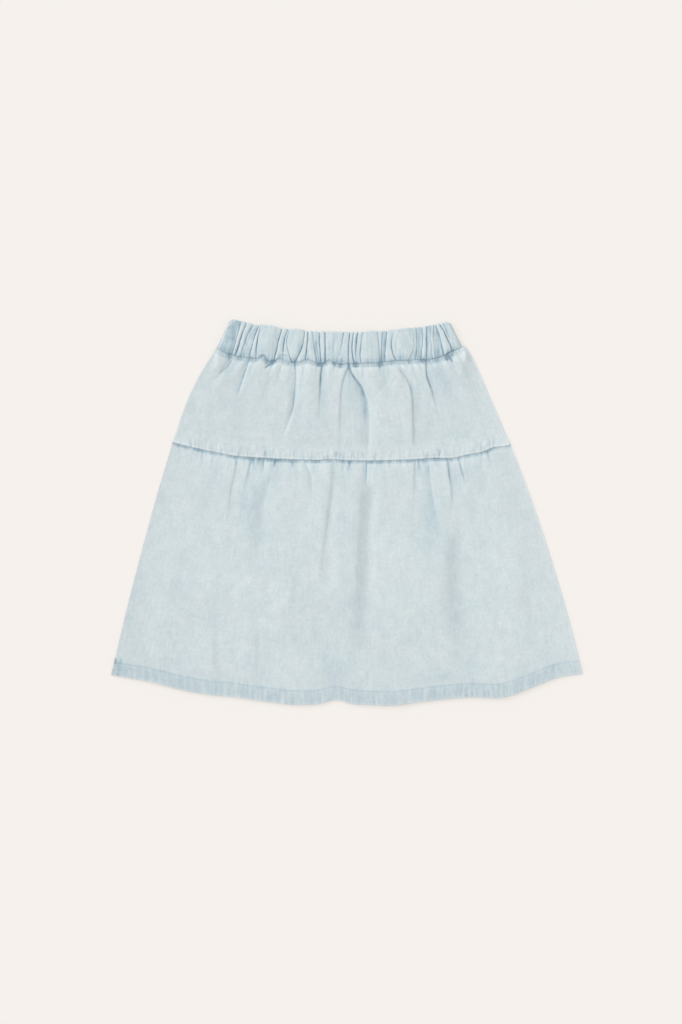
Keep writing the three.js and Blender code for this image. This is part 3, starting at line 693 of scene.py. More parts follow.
# ---- Cloth ----
# How relief shows in the wash, with painted light and shade. Where a surface stands over its
# surroundings, counted in rows and columns to each side, by the scale or more, the cloth is worn pale and
# given painted light by so much, and where it lies under them it is dyed and given grey painted shade.
Relief = namedtuple("Relief", "rows columns scale wear dye grey", defaults=(0.0,))
CASING_RELIEF = (Relief(2, 3, 0.3, 0.2, 0.2), Relief(4, 9, 1.2, 0.22, 0.3))
CASING_BACK_RELIEF = (Relief(2, 3, 0.35, 0.4, 0.3),)
UPPER_RELIEF = (
    Relief(3, 3, 0.45, 0.18, 0.08, 0.15),
    Relief(8, 10, 1.3, 0.2, 0.05, 0.3),
    Relief(16, 26, 2.0, 0.1, 0.0, 0.3),
)
LOWER_RELIEF = (
    Relief(3, 3, 0.45, 0.18, 0.08, 0.15),
    Relief(8, 10, 1.3, 0.18, 0.05, 0.3),
    Relief(16, 26, 2.0, 0.1, 0.0, 0.3),
)
HEM_RELIEF = (Relief(3, 3, 0.45, 0.15, 0.12),)
BACK_RELIEF = (Relief(3, 3, 0.45, 0.3, 0.2, 0.2), Relief(8, 10, 0.9, 0.2, 0.05, 0.4))
BACK_HEM_RELIEF = (Relief(3, 5, 0.45, 0.3, 0.25),)

LEAST_EDGE = 0.012  # a rounded edge keeps the square root of this share of its wall's thickness


class Cloth:
    """One piece of cloth as rows and columns of places, with the heights of its two faces."""

    def __init__(self, u, v, width, length):
        self.u, self.v = np.meshgrid(u, v)
        self.from_left = self.u * width
        self.from_right = (1 - self.u) * width
        self.down = self.v * length
        self.up = (1 - self.v) * length
        self.x = self.y = self.high = self.low = None
        self.wear = np.zeros(self.u.shape)
        self.dye = np.zeros(self.u.shape)
        self.grey = np.zeros(self.u.shape)

    def side(self):
        """The distance to the nearer side."""
        return np.minimum(self.from_left, self.from_right)

    def round_edge(self, distance, radius, middle):
        """Rounds the wall towards a height, over a distance from its edge."""
        inside = 1 - np.clip(distance / radius, 0, 1)
        share = np.sqrt(np.maximum(1 - inside**2, LEAST_EDGE))
        self.high = middle + (self.high - middle) * share
        self.low = middle + (self.low - middle) * share

    def tuck(self):
        """Moves the top edge in under the piece above."""
        self.y += SEAM_TUCK * (1 - smooth(self.down, 0, 2 * SEAM_TUCK))

    def mark_relief(self, surface, reliefs):
        """Marks the crests of a surface as worn and lit, with painted light, and its hollows as dyed and
        grey, with painted shade.
        """
        for relief in reliefs:
            over = (surface - averaged(surface, relief.rows, relief.columns)) / relief.scale
            self.wear += relief.wear * np.clip(over, 0, 1)
            self.dye += relief.dye * np.clip(-over, 0, 1)
            self.grey += relief.grey * np.clip(-over, 0, 1)

    def row_of(self, face, up):
        """The places on a face along the row that lies nearest to this distance from the foot."""
        row = np.argmin(np.abs(self.up[:, 0] - up))
        return np.stack([self.x[row], self.y[row], face[row]], 1)


def deselect():
    for thing in bpy.context.selected_objects:
        thing.select_set(False)


def only(piece):
    deselect()
    piece.select_set(True)
    bpy.context.view_layer.objects.active = piece


def spots_of(piece):
    spots = np.zeros(len(piece.data.vertices) * 3)
    piece.data.vertices.foreach_get("co", spots)
    return spots.reshape(-1, 3)


def set_spots(piece, spots):
    piece.data.vertices.foreach_set("co", spots.astype(np.float32).ravel())
    piece.data.update()


def wall(name, cloth, finish):
    """A closed wall of cloth: a grid, extruded to a second face, with its points moved to their places."""
    rows, columns = cloth.u.shape
    deselect()
    bpy.ops.mesh.primitive_grid_add(x_subdivisions=columns - 1, y_subdivisions=rows - 1, size=2)
    piece = bpy.context.object
    piece.name = piece.data.name = name
    bpy.ops.object.mode_set(mode="EDIT")
    bpy.ops.mesh.select_all(action="SELECT")
    bpy.ops.mesh.extrude_region_move(TRANSFORM_OT_translate={"value": (0, 0, -1)})
    bpy.ops.mesh.select_all(action="SELECT")
    bpy.ops.mesh.normals_make_consistent(inside=False)
    bpy.ops.object.mode_set(mode="OBJECT")

    flat = spots_of(piece)
    column = np.rint((flat[:, 0] + 1) / 2 * (columns - 1)).astype(int)
    row = np.rint((1 - flat[:, 1]) / 2 * (rows - 1)).astype(int)
    at = (row, column)
    height = np.where(flat[:, 2] < -0.5, cloth.low[at], cloth.high[at])
    set_spots(piece, np.stack([cloth.x[at] + SHIFT_X, cloth.y[at] + SHIFT_Y, height], 1) * MM)

    corners = np.zeros(len(piece.data.loops), int)
    piece.data.loops.foreach_get("vertex_index", corners)
    places = np.stack([cloth.from_left[at], -cloth.down[at]], 1)[corners] * MM
    threads = piece.data.uv_layers.active or piece.data.uv_layers.new()
    threads.name = "threads"
    threads.uv.foreach_set("vector", places.astype(np.float32).ravel())
    for mark in ("wear", "dye", "grey"):
        values = piece.data.attributes.new(mark, "FLOAT", "POINT")
        values.data.foreach_set("value", np.clip(getattr(cloth, mark)[at], 0, 1).astype(np.float32))
    only(piece)
    bpy.ops.object.shade_smooth()
    piece.data.materials.append(finish)
    return piece


# ---- Stitches ----
STITCH_LENGTH, STITCH_PITCH, STITCH_RADIUS = 2.3, 3.3, 0.22
WAIST_STITCH_LINE = 1.5  # how far above the casing's foot it is sewn on


def stitches(name, line, finish):
    """Lock stitches along a line of places: one is modelled, and copies of it are laid end to end."""
    deselect()
    bpy.ops.mesh.primitive_uv_sphere_add(segments=6, ring_count=5, radius=1)
    first = bpy.context.object
    first.scale = Vector((STITCH_LENGTH / 2, STITCH_RADIUS, STITCH_RADIUS)) * MM
    bpy.ops.object.transform_apply(location=False, rotation=False, scale=True)
    run = np.concatenate([[0], np.cumsum(np.linalg.norm(np.diff(line, axis=0), axis=1))])
    copies = []
    for start in np.arange(STITCH_PITCH, run[-1] - STITCH_PITCH, STITCH_PITCH):
        a, b = (
            Vector([np.interp(at, run, line[:, axis]) for axis in range(3)])
            for at in (start, start + STITCH_LENGTH)
        )
        turn = (b - a).to_track_quat("X", "Z").to_matrix().to_4x4()
        place = Matrix.Translation(((a + b) / 2 + Vector((SHIFT_X, SHIFT_Y, 0))) * MM)
        copy = first.copy()
        copy.data = first.data.copy()
        copy.matrix_world = place @ turn
        bpy.context.scene.collection.objects.link(copy)
        copies.append(copy)
    bpy.data.objects.remove(first)
    deselect()
    for copy in copies:
        copy.select_set(True)
    bpy.context.view_layer.objects.active = copies[0]
    bpy.ops.object.join()
    bpy.ops.object.transform_apply(location=True, rotation=True, scale=True)
    bpy.ops.object.shade_smooth()
    seam = bpy.context.object
    seam.name = seam.data.name = name
    seam.data.materials.append(finish)
    return seam


# ---- The casing ----
CASING_LENGTH = 35.0
CASING_LEVEL = CASING_BACK_TOP + LAYER_GAP
CASING_SIDE = 2.6  # where the casing's front meets its back at the sides
WAIST_LIP = 4.85  # the underside of the casing's foot, over the top of the tier
FINE_FOLD, FINE_FOOT = 2.4, 3.6  # how much of the casing has finer rows at its top fold and at its foot

# A gather of the casing is an arch between two creases.
FEWEST_STEPS, MOST_STEPS = 8, 36  # across a gather
LEANS = (0.75, 1.3)  # how far a gather's highest part may lie to one side of its middle
ARCH_FLATNESS = 0.55  # a smaller one gives a gather a flatter top and steeper sides
SADDLE = 0.85  # how much of a gather's height is left over a crease that isn't gripped
PINCH_WIDTH = 0.55  # of the dark line in a crease
CREST_PLACE = 1.5  # how far beside a crease the cloth is worn along a crest
SOFT_SIDE = 6.0  # the width at the casing's sides within which its creases don't sway
USUAL_ARCH = 2.2  # the height of a usual gather; the top edge stands out where an arch is over half of it


def crease_x(crease, v):
    bend = crease.middle - (crease.top + crease.foot) / 2
    return blend(crease.top, crease.foot, v) + bend * 4 * v * (1 - v)


def side_crease(end, rise, blue):
    top, foot = getattr(WAIST_TOP, end)[0], getattr(WAIST_SEAM, end)[0]
    return Crease(top, (top + foot) / 2, foot, rise, blue, 1, 1, 1)


def casing(creases, rise, blue, top_line, foot_line, gap, parts, seed):
    """One side of the casing, laid out between its creases, with its arches and its pinches."""
    lines = [side_crease("left", rise, blue), *creases, side_crease("right", 0, 0)]
    random = np.random.RandomState(seed)
    place, t = [], []
    for k, (a, b) in enumerate(zip(lines, lines[1:])):
        steps = int(np.clip((b.middle - a.middle) / gap, FEWEST_STEPS, MOST_STEPS))
        even = np.arange(steps) / steps
        t.append(blend(even, (1 - np.cos(np.pi * even)) / 2, 0.5))
        place.append(np.full(steps, k))
    t = np.append(np.concatenate(t), 1.0)
    place = np.append(np.concatenate(place), len(lines) - 2)
    width = foot_line.right[0] - foot_line.left[0]
    v = shares(CASING_LENGTH, parts)
    cloth = Cloth(np.linspace(0, 1, len(t)), v, width, CASING_LENGTH)

    # Each crease's place, grip and neighbours at each row.
    at = np.stack([crease_x(line, v) for line in lines])
    grips = np.stack([np.interp(v, (0, 0.5, 1), line[-3:]) for line in lines])
    rises = np.array([line.rise for line in lines[:-1]])
    blues = np.array([line.blue for line in lines[:-1]])
    around = (np.append(rises[:1], rises) + np.append(rises, rises[-1:])) / 2
    saddles = SADDLE * around[:, None] * (1 - grips)

    # The arches between them, the pinches in them and the worn crests beside them.
    left, right = at[place].T, at[place + 1].T
    left_grip, right_grip = grips[place].T, grips[place + 1].T
    lean = random.uniform(*LEANS, len(rises))[place]
    round_top = np.sin(np.pi * t**lean) ** ARCH_FLATNESS
    base = blend(saddles[place].T, saddles[place + 1].T, t)
    arch = base + (rises[place] - base) * round_top
    to_left, to_right = (right - left) * t, (right - left) * (1 - t)
    pinch = np.maximum(bell(to_left, PINCH_WIDTH) * left_grip, bell(to_right, PINCH_WIDTH) * right_grip)
    crest = bell(to_left - CREST_PLACE, 0.6) * left_grip
    crest += 0.6 * bell(to_right - CREST_PLACE, 0.5) * right_grip

    # The sway of the creases and the unevenness of the arches.
    from_ends = np.minimum(left + to_left - at[0][:, None], at[-1][:, None] - left - to_left)
    in_cloth = smooth(from_ends, 0, SOFT_SIDE)
    even_x = blend(left, right, t)
    sway = 0.5 * soft_noise(seed, even_x, cloth.down, 7, 12)
    sway += 0.25 * soft_noise(seed + 6, even_x, cloth.down, 5, 5)
    cloth.x = even_x + sway * in_cloth
    arch *= 0.8 + 0.2 * smooth(cloth.v, 0, 0.3) - 0.45 * smooth(cloth.v, 0.72, 1)
    arch += 0.25 * soft_noise(seed + 1, cloth.x, cloth.down, 2.4, 16) * in_cloth
    arch += 0.3 * soft_noise(seed + 2, cloth.x, cloth.down, 6, 9) * in_cloth
    arch = np.maximum(arch, 0)

    # The outline: the top edge scallops with the arches, and its two corners are rounded.
    u = np.clip((cloth.x - at[0][:, None]) / (at[-1] - at[0])[:, None], 0, 1)
    cloth.from_left, cloth.from_right = u * width, (1 - u) * width
    scallop = (1.7 * (arch / USUAL_ARCH - 0.5) - 1.3 * pinch) * smooth(cloth.side(), 0, 4)
    scallop = scallop + 0.35 * soft_noise(seed + 3, cloth.x, 0, 3.2, 1) * in_cloth
    corner = 3.0 * bell(cloth.from_left, 2.4) + 2.4 * bell(cloth.from_right, 2.6)
    cloth.y = blend(across(top_line, u)[1] + scallop - corner, across(foot_line, u)[1], cloth.v)

    # The wash: a whole gather may have stayed blue, and fine streaks run along it.
    middles = np.array([line.middle for line in lines])
    strand = blend(middles[place], middles[place + 1], t)
    streaks = soft_noise(seed + 4, strand, cloth.down, 1.2, 15)
    streaks += 0.6 * soft_noise(seed + 5, strand, cloth.down, 3, 9)
    fold_blue = blues[place] * np.sin(np.pi * np.clip(t, 0, 1)) ** 0.35
    narrow = 1 - smooth(at[place + 1] - at[place], 4, 14).T
    cloth.dye += 0.24 * fold_blue + 0.14 * np.maximum(streaks, 0) + 0.05 * narrow
    cloth.wear += 0.25 * np.maximum(-streaks, 0)
    cloth.wear += 0.45 * crest * (1 - 0.5 * fold_blue) * (1 - 0.45 * narrow)
    return cloth, arch, pinch


def casing_front(finish):
    parts = ((FINE_FOLD, 7), (None, 28), (FINE_FOOT, 9))
    cloth, arch, pinch = casing(
        FRONT_CREASES, SIDE_RISE, SIDE_BLUE, WAIST_TOP, WAIST_SEAM, gap=0.6, parts=parts, seed=11
    )
    cloth.low = CASING_LEVEL + 0.3 * arch
    core = CASING_CORE - 0.5 * smooth(cloth.v, 0.8, 1)
    cloth.high = CASING_LEVEL + core + 1.1 * arch - 0.5 * pinch
    cloth.mark_relief(cloth.high, CASING_RELIEF)
    fold, seam = cloth.down, cloth.up
    cloth.wear += 0.3 * bell(fold, 1.4) * (1 - pinch)
    uneven = patchy(13, cloth.x, cloth.y, 3, 5)
    dimple_shade, knots = knotted(cloth.x, cloth.y, 15)
    cloth.dye += (0.6 * pinch**1.3 + 0.5 * pinch * bell(seam, 2.5)) * uneven
    # Painted shade in the stitch dimples, and the dark knots at the seam.
    cloth.dye += (0.1 * dimple_shade + 0.9 * knots) * bell(seam, 1.8) + 0.35 * knots * bell(seam, 5)
    cloth.dye += 0.10 + 0.1 * soft_noise(12, cloth.x, cloth.y, 9, 14) + 0.14 * bell(seam, 9)
    cloth.wear *= 1 - 0.7 * bell(seam, 1.2)
    # The small marks: worn pale ridges, and dark ones that are painted shade.
    pale = marked(CASING_MARKS, cloth.x, cloth.y)
    cloth.wear += np.maximum(pale, 0)
    cloth.dye += np.maximum(-pale, 0)
    cloth.low = blend(np.maximum(cloth.low, WAIST_LIP), cloth.low, smooth(seam, 2, 4))
    cloth.high = np.maximum(cloth.high, cloth.low + 0.5)
    cloth.round_edge(fold, 1.7, CASING_LEVEL + 1.0)
    cloth.round_edge(seam, 2.8 - 1.8 * knots, cloth.low[-1:] + 0.12)
    side = np.sqrt(smooth(cloth.side(), -1.0, 4.0))
    cloth.high = blend(CASING_SIDE + 0.3, cloth.high, side)
    cloth.low = blend(CASING_SIDE, cloth.low, side)
    return wall("casing_front", cloth, finish), cloth


def back_creases():
    """Creases of the casing's back: spread evenly, with a little sway."""
    random = np.random.RandomState(31)
    creases = []
    for k in range(1, BACK_GATHERS):
        share = (k + random.uniform(-0.25, 0.25)) / BACK_GATHERS
        lean = random.uniform(-0.35, 0.35) / BACK_GATHERS
        top = blend(WAIST_TOP.left[0], WAIST_TOP.right[0], share)
        foot = blend(WAIST_SEAM.left[0], WAIST_SEAM.right[0], share + lean)
        middle = (top + foot) / 2 + random.uniform(-1, 1)
        rise = random.uniform(0.7, 1.3)
        blue = random.choice((0, 0.1, 0.2, 0.7))
        grip = random.uniform(0.5, 1)
        creases.append(Crease(top, middle, foot, rise, blue, grip, 1, grip))
    return creases


def casing_back(finish):
    parts = ((FINE_FOLD, 5), (None, 16), (FINE_FOOT, 6))
    cloth, arch, pinch = casing(back_creases(), 1.0, 0.4, WAIST_TOP_BACK, WAIST_SEAM_BACK, 1.0, parts, 21)
    cloth.high = CASING_BACK_TOP - 1.1 + np.minimum(0.8 * arch, 1.0)
    cloth.low = np.clip(1.3 - 1.2 * arch, 0, 1.3) + 0.3 * pinch
    cloth.mark_relief(-cloth.low, CASING_BACK_RELIEF)
    fold, seam = cloth.down, cloth.up
    cloth.wear += 0.3 * bell(fold, 1.4)
    cloth.dye += 0.5 * pinch + 0.5 * bell(seam, 0.7) + 0.12
    cloth.round_edge(fold, 1.7, 2.0)
    cloth.round_edge(seam, 1.6, 2.2)
    side = np.sqrt(smooth(cloth.side(), -1.0, 4.0))
    cloth.low = blend(CASING_SIDE - 0.8, cloth.low, side)
    cloth.high = blend(CASING_SIDE - 0.4, cloth.high, side)
    return wall("casing_back", cloth, finish)


# ---- The tiers ----
LEAST_LIFT = 0.25  # the height that cloth keeps where it would just touch what lies under it


def settle(lift):
    """Keeps the cloth from sinking into what lies under it."""
    return 0.5 * (lift + np.sqrt(lift * lift + 4 * LEAST_LIFT**2))


def waist_gathers(cloth, creases, line, seed):
    """The gathers that the elastic draws up in the upper tier, below each crease of the casing."""
    random = np.random.RandomState(seed)
    marks = np.array([0.0, *(share_of(line, crease.foot) for crease in creases), 1.0])
    gaps = np.diff(marks) * (line.right[0] - line.left[0])
    heights = np.clip(0.28 * gaps, 0.6, 2.0)
    reaches = np.clip(1.4 * gaps, 6, 22) * random.uniform(0.8, 1.2, len(gaps))
    return gathers(cloth.u, cloth.down, marks, heights, reaches)


def hem_puckers(cloth, seed):
    """Short uneven ripples where the turned-up hem has drawn up in the wash."""
    slant = 0.12 * cloth.up * soft_noise(seed, cloth.x, 0, 40, 1)
    ripple = soft_noise(seed + 1, cloth.x + slant, cloth.up, 1.9, 26)
    ripple += 0.6 * soft_noise(seed + 2, cloth.x - slant, cloth.up, 4.5, 24)
    return ripple * (1 - smooth(cloth.up, HEM_DEPTH - 3, HEM_DEPTH + 4))


def hem_of(cloth):
    """How far the cloth is part of the turned-up hem, and how near it is to the hem's stitches."""
    return 1 - smooth(cloth.up, HEM_DEPTH - 0.4, HEM_DEPTH + 0.5), bell(cloth.up - STITCH_LINE, 0.7)


def front_columns(width, count):
    """The shares of a front's width at its columns, which lie closer together at the sides."""
    return shares(width, ((0.3, 1), (2.7, 4), (None, count), (2.7, 4), (0.3, 1)))


def upper_front(finish):
    v = shares(UPPER_LENGTH, ((16.0, 22), (None, 50), (13.0, 18)))
    cloth = Cloth(front_columns(UPPER_WIDTH, 480), v, UPPER_WIDTH, UPPER_LENGTH)
    cloth.x, cloth.y = plan(WAIST_SEAM, TIER_SEAM, UPPER_BOWS, cloth.u, cloth.v)
    x, y, down, up = cloth.x, cloth.y.copy(), cloth.down, cloth.up
    cloth.tuck()

    # What lifts it: the casing above, the allowance below, its folds and the small unevenness of the cloth.
    held = 2.6 * (1 - smooth(cloth.v, 0, 0.75))
    puff = 1.8 * smooth(down, 0, 12) * (1 - 0.5 * cloth.v)
    allowance = ALLOWANCE_RISE * (1 - smooth(up, 0.7 * ALLOWANCE_WIDTH, 2 * ALLOWANCE_WIDTH))
    folds, pinched = fold_heights(UPPER_FRONT_FOLDS, x, y)
    drawn, gathered = waist_gathers(cloth, FRONT_CREASES, WAIST_SEAM, 41)
    strokes = marked(WAIST_MARKS, x, y)
    near_seam = 1 - smooth(up, 6, 13)
    puckers = near_seam * (soft_noise(42, x, up, 1.6, 9) + 0.8 * soft_noise(43, x, up, 4, 12))
    wrinkles = 0.22 * soft_noise(44, x, y, 9, 26) + 0.12 * soft_noise(45, x, y, 4, 7)
    billows = soft_places(UPPER_FRONT_BILLOWS, x, y)
    lift = 0.4 + held + puff + allowance + folds + drawn + 0.5 * puckers + wrinkles + billows
    lift += 0.5 * strokes

    # How high it lies: held down at its top, its foot and its sides.
    lift = blend(WAIST_LIFT, lift, smooth(down, 1.5, 6))
    lift = blend(SEAM_LIFT, lift, smooth(up, 0.5, 6))
    open_side = smooth(cloth.side(), 0, 5 + 22 * smooth(down, 0, 30))
    at_side = 1.8 * np.exp(-down / 12) + 1.2 * np.exp(-up / 6) - SIDE_PRESS
    cloth.low = CLOTH + LAYER_GAP + blend(at_side, settle(lift), open_side)
    cloth.high = cloth.low + WALL

    # How it is worn and dyed, with painted light and shade.
    cloth.mark_relief(cloth.high, UPPER_RELIEF)
    cloth.wear += 0.48 * bell(up - 1.7, 0.8) + 0.1 * bell(up, 6)
    dimple_shade, knots = knotted(x, y, 49)
    cloth.dye += 0.9 * pinched + 0.3 * gathered + 0.1 * bell(down, 6)
    # Painted shade in the stitch dimples, and the dark knots at the seam.
    cloth.dye += (0.15 * dimple_shade + 1.0 * knots) * bell(down - 1.5, 2.0) + 0.3 * knots * bell(down, 6)
    # Dark strokes are painted shade between the gathers.
    cloth.dye += 0.8 * np.maximum(-strokes, 0)
    cloth.dye += 0.5 * soft_places(UPPER_FRONT_WASHES_AND_SHADE, x, y) * (1 + 0.25 * soft_noise(46, x, y, 6, 9))
    cloth.dye += 0.6 * near_seam * np.maximum(soft_noise(47, x, up, 1.4, 14), 0)
    cloth.wear += 0.6 * near_seam * np.maximum(soft_noise(48, x, up, 1.4, 14), 0)
    cloth.grey += soft_places(UPPER_FRONT_PAINTED_SHADES, x, y)
    cloth.wear *= 1 - 0.7 * bell(down, 3)
    cloth.wear += np.maximum(strokes, 0)
    # Both sides are pale, worn and partly painted light, with a broad band of painted light near the right
    # side, which the window light leaves darker, and grey painted shade along the left side, which it
    # brightens.
    cloth.wear += 0.8 * bell(cloth.side(), 1.3) + 0.3 * bell(cloth.from_right - 9, 9)
    cloth.grey += 0.25 * bell(cloth.from_left, 12) + 0.35 * bell(cloth.from_left - 18, 13)

    cloth.round_edge(down, 0.8, cloth.low[0:1] + 0.5)
    cloth.round_edge(up, 1.1, cloth.low[-1:] + 0.12)
    cloth.round_edge(cloth.side(), 0.4, cloth.low[:, :1] + 0.4)
    return wall("upper_front", cloth, finish)


def lower_front(finish):
    v = shares(LOWER_LENGTH, ((14.0, 17), (None, 52), (22.0, 27)))
    cloth = Cloth(front_columns(LOWER_WIDTH, 470), v, LOWER_WIDTH, LOWER_LENGTH)
    cloth.x, cloth.y = plan(TIER_SEAM, HEM, LOWER_BOWS, cloth.u, cloth.v)
    x, y, down, up = cloth.x, cloth.y, cloth.down, cloth.up
    cloth.tuck()

    # What lifts it: its body, its folds, the gathers at its top and the small unevenness of the cloth.
    folds, pinched = fold_heights(LOWER_FRONT_FOLDS, x, y)
    random, count = np.random.RandomState(52), 62
    heights, reaches = random.uniform(0.15, 0.7, count), random.uniform(5, 16, count)
    drawn, gathered = gathers(cloth.u, down, seeded_marks(51, count, 0.55), heights, reaches)
    in_hem, sewn = hem_of(cloth)
    puckers = hem_puckers(cloth, 53)
    wrinkles = 0.25 * soft_noise(56, x, y, 11, 34) + 0.12 * soft_noise(57, x, y, 4, 8)
    billows = soft_places(LOWER_FRONT_BILLOWS, x, y)
    body = 0.5 + 1.4 * smooth(down, 0, 14) * (1 - smooth(cloth.v, 0.5, 1)) + 1.7 * np.sin(np.pi * cloth.v)
    lift = body + folds + drawn + 0.25 * puckers + wrinkles + billows

    # How high it lies: held down at its top and its sides, over a back that is thicker at its hem.
    lift = blend(TUCKED_LIFT, lift, smooth(down, 1.8, 5))
    open_side = smooth(cloth.side(), 0, 40)
    under = CLOTH + HEM_TURN * smooth(cloth.v, 0.6, 0.92)
    cloth.low = under + LAYER_GAP + blend(-SIDE_PRESS, settle(lift), open_side)
    cloth.high = cloth.low + WALL + HEM_TURN * in_hem - STITCH_GROOVE * sewn

    # How it is worn and dyed, with painted light and shade.
    cloth.mark_relief(cloth.high, LOWER_RELIEF)
    cloth.mark_relief(0.5 * puckers * smooth(up, 0, 2), HEM_RELIEF)
    cloth.grey += soft_places(LOWER_FRONT_PAINTED_SHADES, x, y)
    cloth.wear += 0.9 * bell(up, 1.5)
    # Both sides are pale, worn and partly painted light, with a broad band of painted light near the right
    # side, which the window light leaves darker, and grey painted shade along the left side, which it
    # brightens.
    cloth.wear += 0.8 * bell(cloth.from_right, 1.3) + 0.25 * bell(cloth.from_right - 6, 14)
    cloth.grey += 0.25 * bell(cloth.from_left, 16) + 0.3 * bell(cloth.from_left - 22, 16)
    along_seam = 0.85 + 0.2 * soft_noise(54, x, 0, 5, 1)
    cloth.dye += 0.85 * pinched + 0.2 * gathered + 0.55 * bell(down - 1.5, 1.6) * along_seam
    hem_band = 1 - smooth(up, HEM_DEPTH - 1, HEM_DEPTH + 2)
    cloth.dye += 0.24 * hem_band + 0.10 * sewn
    # The hem band is darkened grey as well, through the painted-shade mark.
    cloth.grey += 0.4 * hem_band
    cloth.dye += 0.55 * soft_places(LOWER_FRONT_WASHES, x, y) * (1 + 0.25 * soft_noise(55, x, y, 6, 9))
    cloth.dye += 0.2 * np.maximum(soft_noise(58, x, 0, 9, 1), 0) * bell(down, 7)
    cloth.dye += 0.35 * np.maximum(soft_noise(60, x, down, 2.6, 16), 0) * bell(down - 6, 9)
    cloth.wear += 0.35 * np.maximum(soft_noise(61, x, down, 2.6, 16), 0) * bell(down, 15)
    roped = np.maximum(soft_noise(59, 0, y, 1, 2.4), 0) * smooth(cloth.v, 0.5, 0.9)
    cloth.dye += 0.9 * (bell(cloth.from_left - 0.8, 1.4) + 0.5 * bell(cloth.from_left - 6, 1.2)) * roped

    cloth.round_edge(down, 1.2, cloth.low[0:1] + 0.15)
    cloth.round_edge(up, 1.4, cloth.low[-1:] + 0.9)
    cloth.round_edge(cloth.side(), 0.4, cloth.low[:, :1] + 0.4)
    return wall("lower_front", cloth, finish), cloth


def tier_back(lines, bows, length, width, folds, columns, parts, seed):
    """The back of a tier, flat on the ground but for the shallow grooves of its creases."""
    deepest = 0.95
    u = shares(width, ((3.0, 4), (None, columns), (3.0, 4)))
    cloth = Cloth(u, shares(length, parts), width, length)
    cloth.x, cloth.y = plan(*lines, bows, cloth.u, cloth.v)
    heights, pinched = fold_heights(folds, cloth.x, cloth.y)
    count = 44
    reaches = np.random.RandomState(seed).uniform(5, 14, count)
    gathered = gathers(cloth.u, cloth.down, seeded_marks(seed + 1, count, 0.5), reaches, reaches)[1]
    groove = np.minimum(np.clip(-heights, 0, deepest) + 0.6 * gathered, deepest)
    groove *= smooth(cloth.side(), 2, 12)
    cloth.low = groove
    cloth.high = CLOTH - 0.2 + 0.25 * groove - 0.8 * SIDE_PRESS * (1 - smooth(cloth.side(), 0, 16))
    cloth.mark_relief(-groove, BACK_RELIEF)
    near_edge = bell(cloth.down, 12) + bell(cloth.up, 7)
    streaks = soft_noise(seed + 2, cloth.x, cloth.down, 2.2, 15)
    cloth.dye += 0.8 * pinched + 0.45 * gathered + 0.5 * bell(cloth.down, 1.6)
    cloth.dye += 0.45 * near_edge * np.maximum(streaks, 0)
    cloth.wear += 0.45 * near_edge * np.maximum(-streaks, 0)
    return cloth


def upper_back(finish):
    lines, parts = (WAIST_SEAM_BACK, TIER_SEAM_BACK), ((12.0, 10), (None, 34), (10.0, 8))
    cloth = tier_back(lines, UPPER_BOWS, UPPER_LENGTH, UPPER_WIDTH, UPPER_BACK_FOLDS, 280, parts, 61)
    cloth.wear += 0.5 * bell(cloth.up - 0.7, 0.7)
    cloth.dye += 0.5 * soft_places(UPPER_FRONT_WASHES_AND_SHADE, -cloth.x, cloth.y)
    cloth.round_edge(cloth.down, 1.2, 0.75)
    cloth.round_edge(cloth.up, 1.2, 0.75)
    cloth.round_edge(cloth.side(), 1.2, 0.3)
    return wall("upper_back", cloth, finish)


def lower_back(finish):
    lines, parts = (TIER_SEAM_BACK, HEM_BACK), ((12.0, 10), (None, 36), (20.0, 18))
    cloth = tier_back(lines, LOWER_BOWS, LOWER_LENGTH, LOWER_WIDTH, LOWER_BACK_FOLDS, 300, parts, 71)
    in_hem, sewn = hem_of(cloth)
    puckers = hem_puckers(cloth, 73)
    cloth.low += 0.25 * in_hem * np.clip(puckers + 0.3, 0, 1) * smooth(cloth.side(), 2, 12) + 0.45 * sewn
    cloth.high += HEM_TURN * in_hem
    cloth.mark_relief(0.5 * puckers, BACK_HEM_RELIEF)
    cloth.dye += 0.2 * in_hem + 0.25 * sewn + 0.5 * soft_places(LOWER_FRONT_WASHES, -cloth.x, cloth.y)
    cloth.wear += 0.3 * bell(cloth.up, 1.2)
    cloth.round_edge(cloth.down, 1.2, 0.75)
    cloth.round_edge(cloth.up, 1.4, 1.0)
    cloth.round_edge(cloth.side(), 1.2, 0.3)
    return wall("lower_back", cloth, finish), cloth


# ---- Materials ----
def linear(red, green, blue):
    """A colour as it looks, in parts of 255 and none of them near black, as the shader wants it."""
    return tuple(((part / 255 + 0.055) / 1.055) ** 2.4 for part in (red, green, blue)) + (1,)


class Value:
    """A socket of a material, so that sums of sockets are written as sums."""

    def __init__(self, finish, socket):
        self.finish, self.socket = finish, socket

    def maths(self, operation, *parts):
        return self.finish.node("ShaderNodeMath", {"operation": operation}, dict(enumerate(parts)))

    def __add__(self, other):
        return self.maths("ADD", self, other)

    __radd__ = __add__

    def __mul__(self, other):
        return self.maths("MULTIPLY", self, other)

    __rmul__ = __mul__

    def __sub__(self, other):
        return self.maths("SUBTRACT", self, other)

    def __rsub__(self, other):
        return self.maths("SUBTRACT", other, self)

    def __pow__(self, power):
        return self.maths("POWER", self, power)

    def sine(self):
        return self.maths("SINE", self)

    def clamped(self):
        return self.finish.node("ShaderNodeClamp", {}, {"Value": self})

    def spread(self, low, high):
        """The value's range from low to high, stretched to 0 to 1 and cut off there."""
        inputs = {"Value": self, "From Min": low, "From Max": high}
        return self.finish.node("ShaderNodeMapRange", {"clamp": True}, inputs)


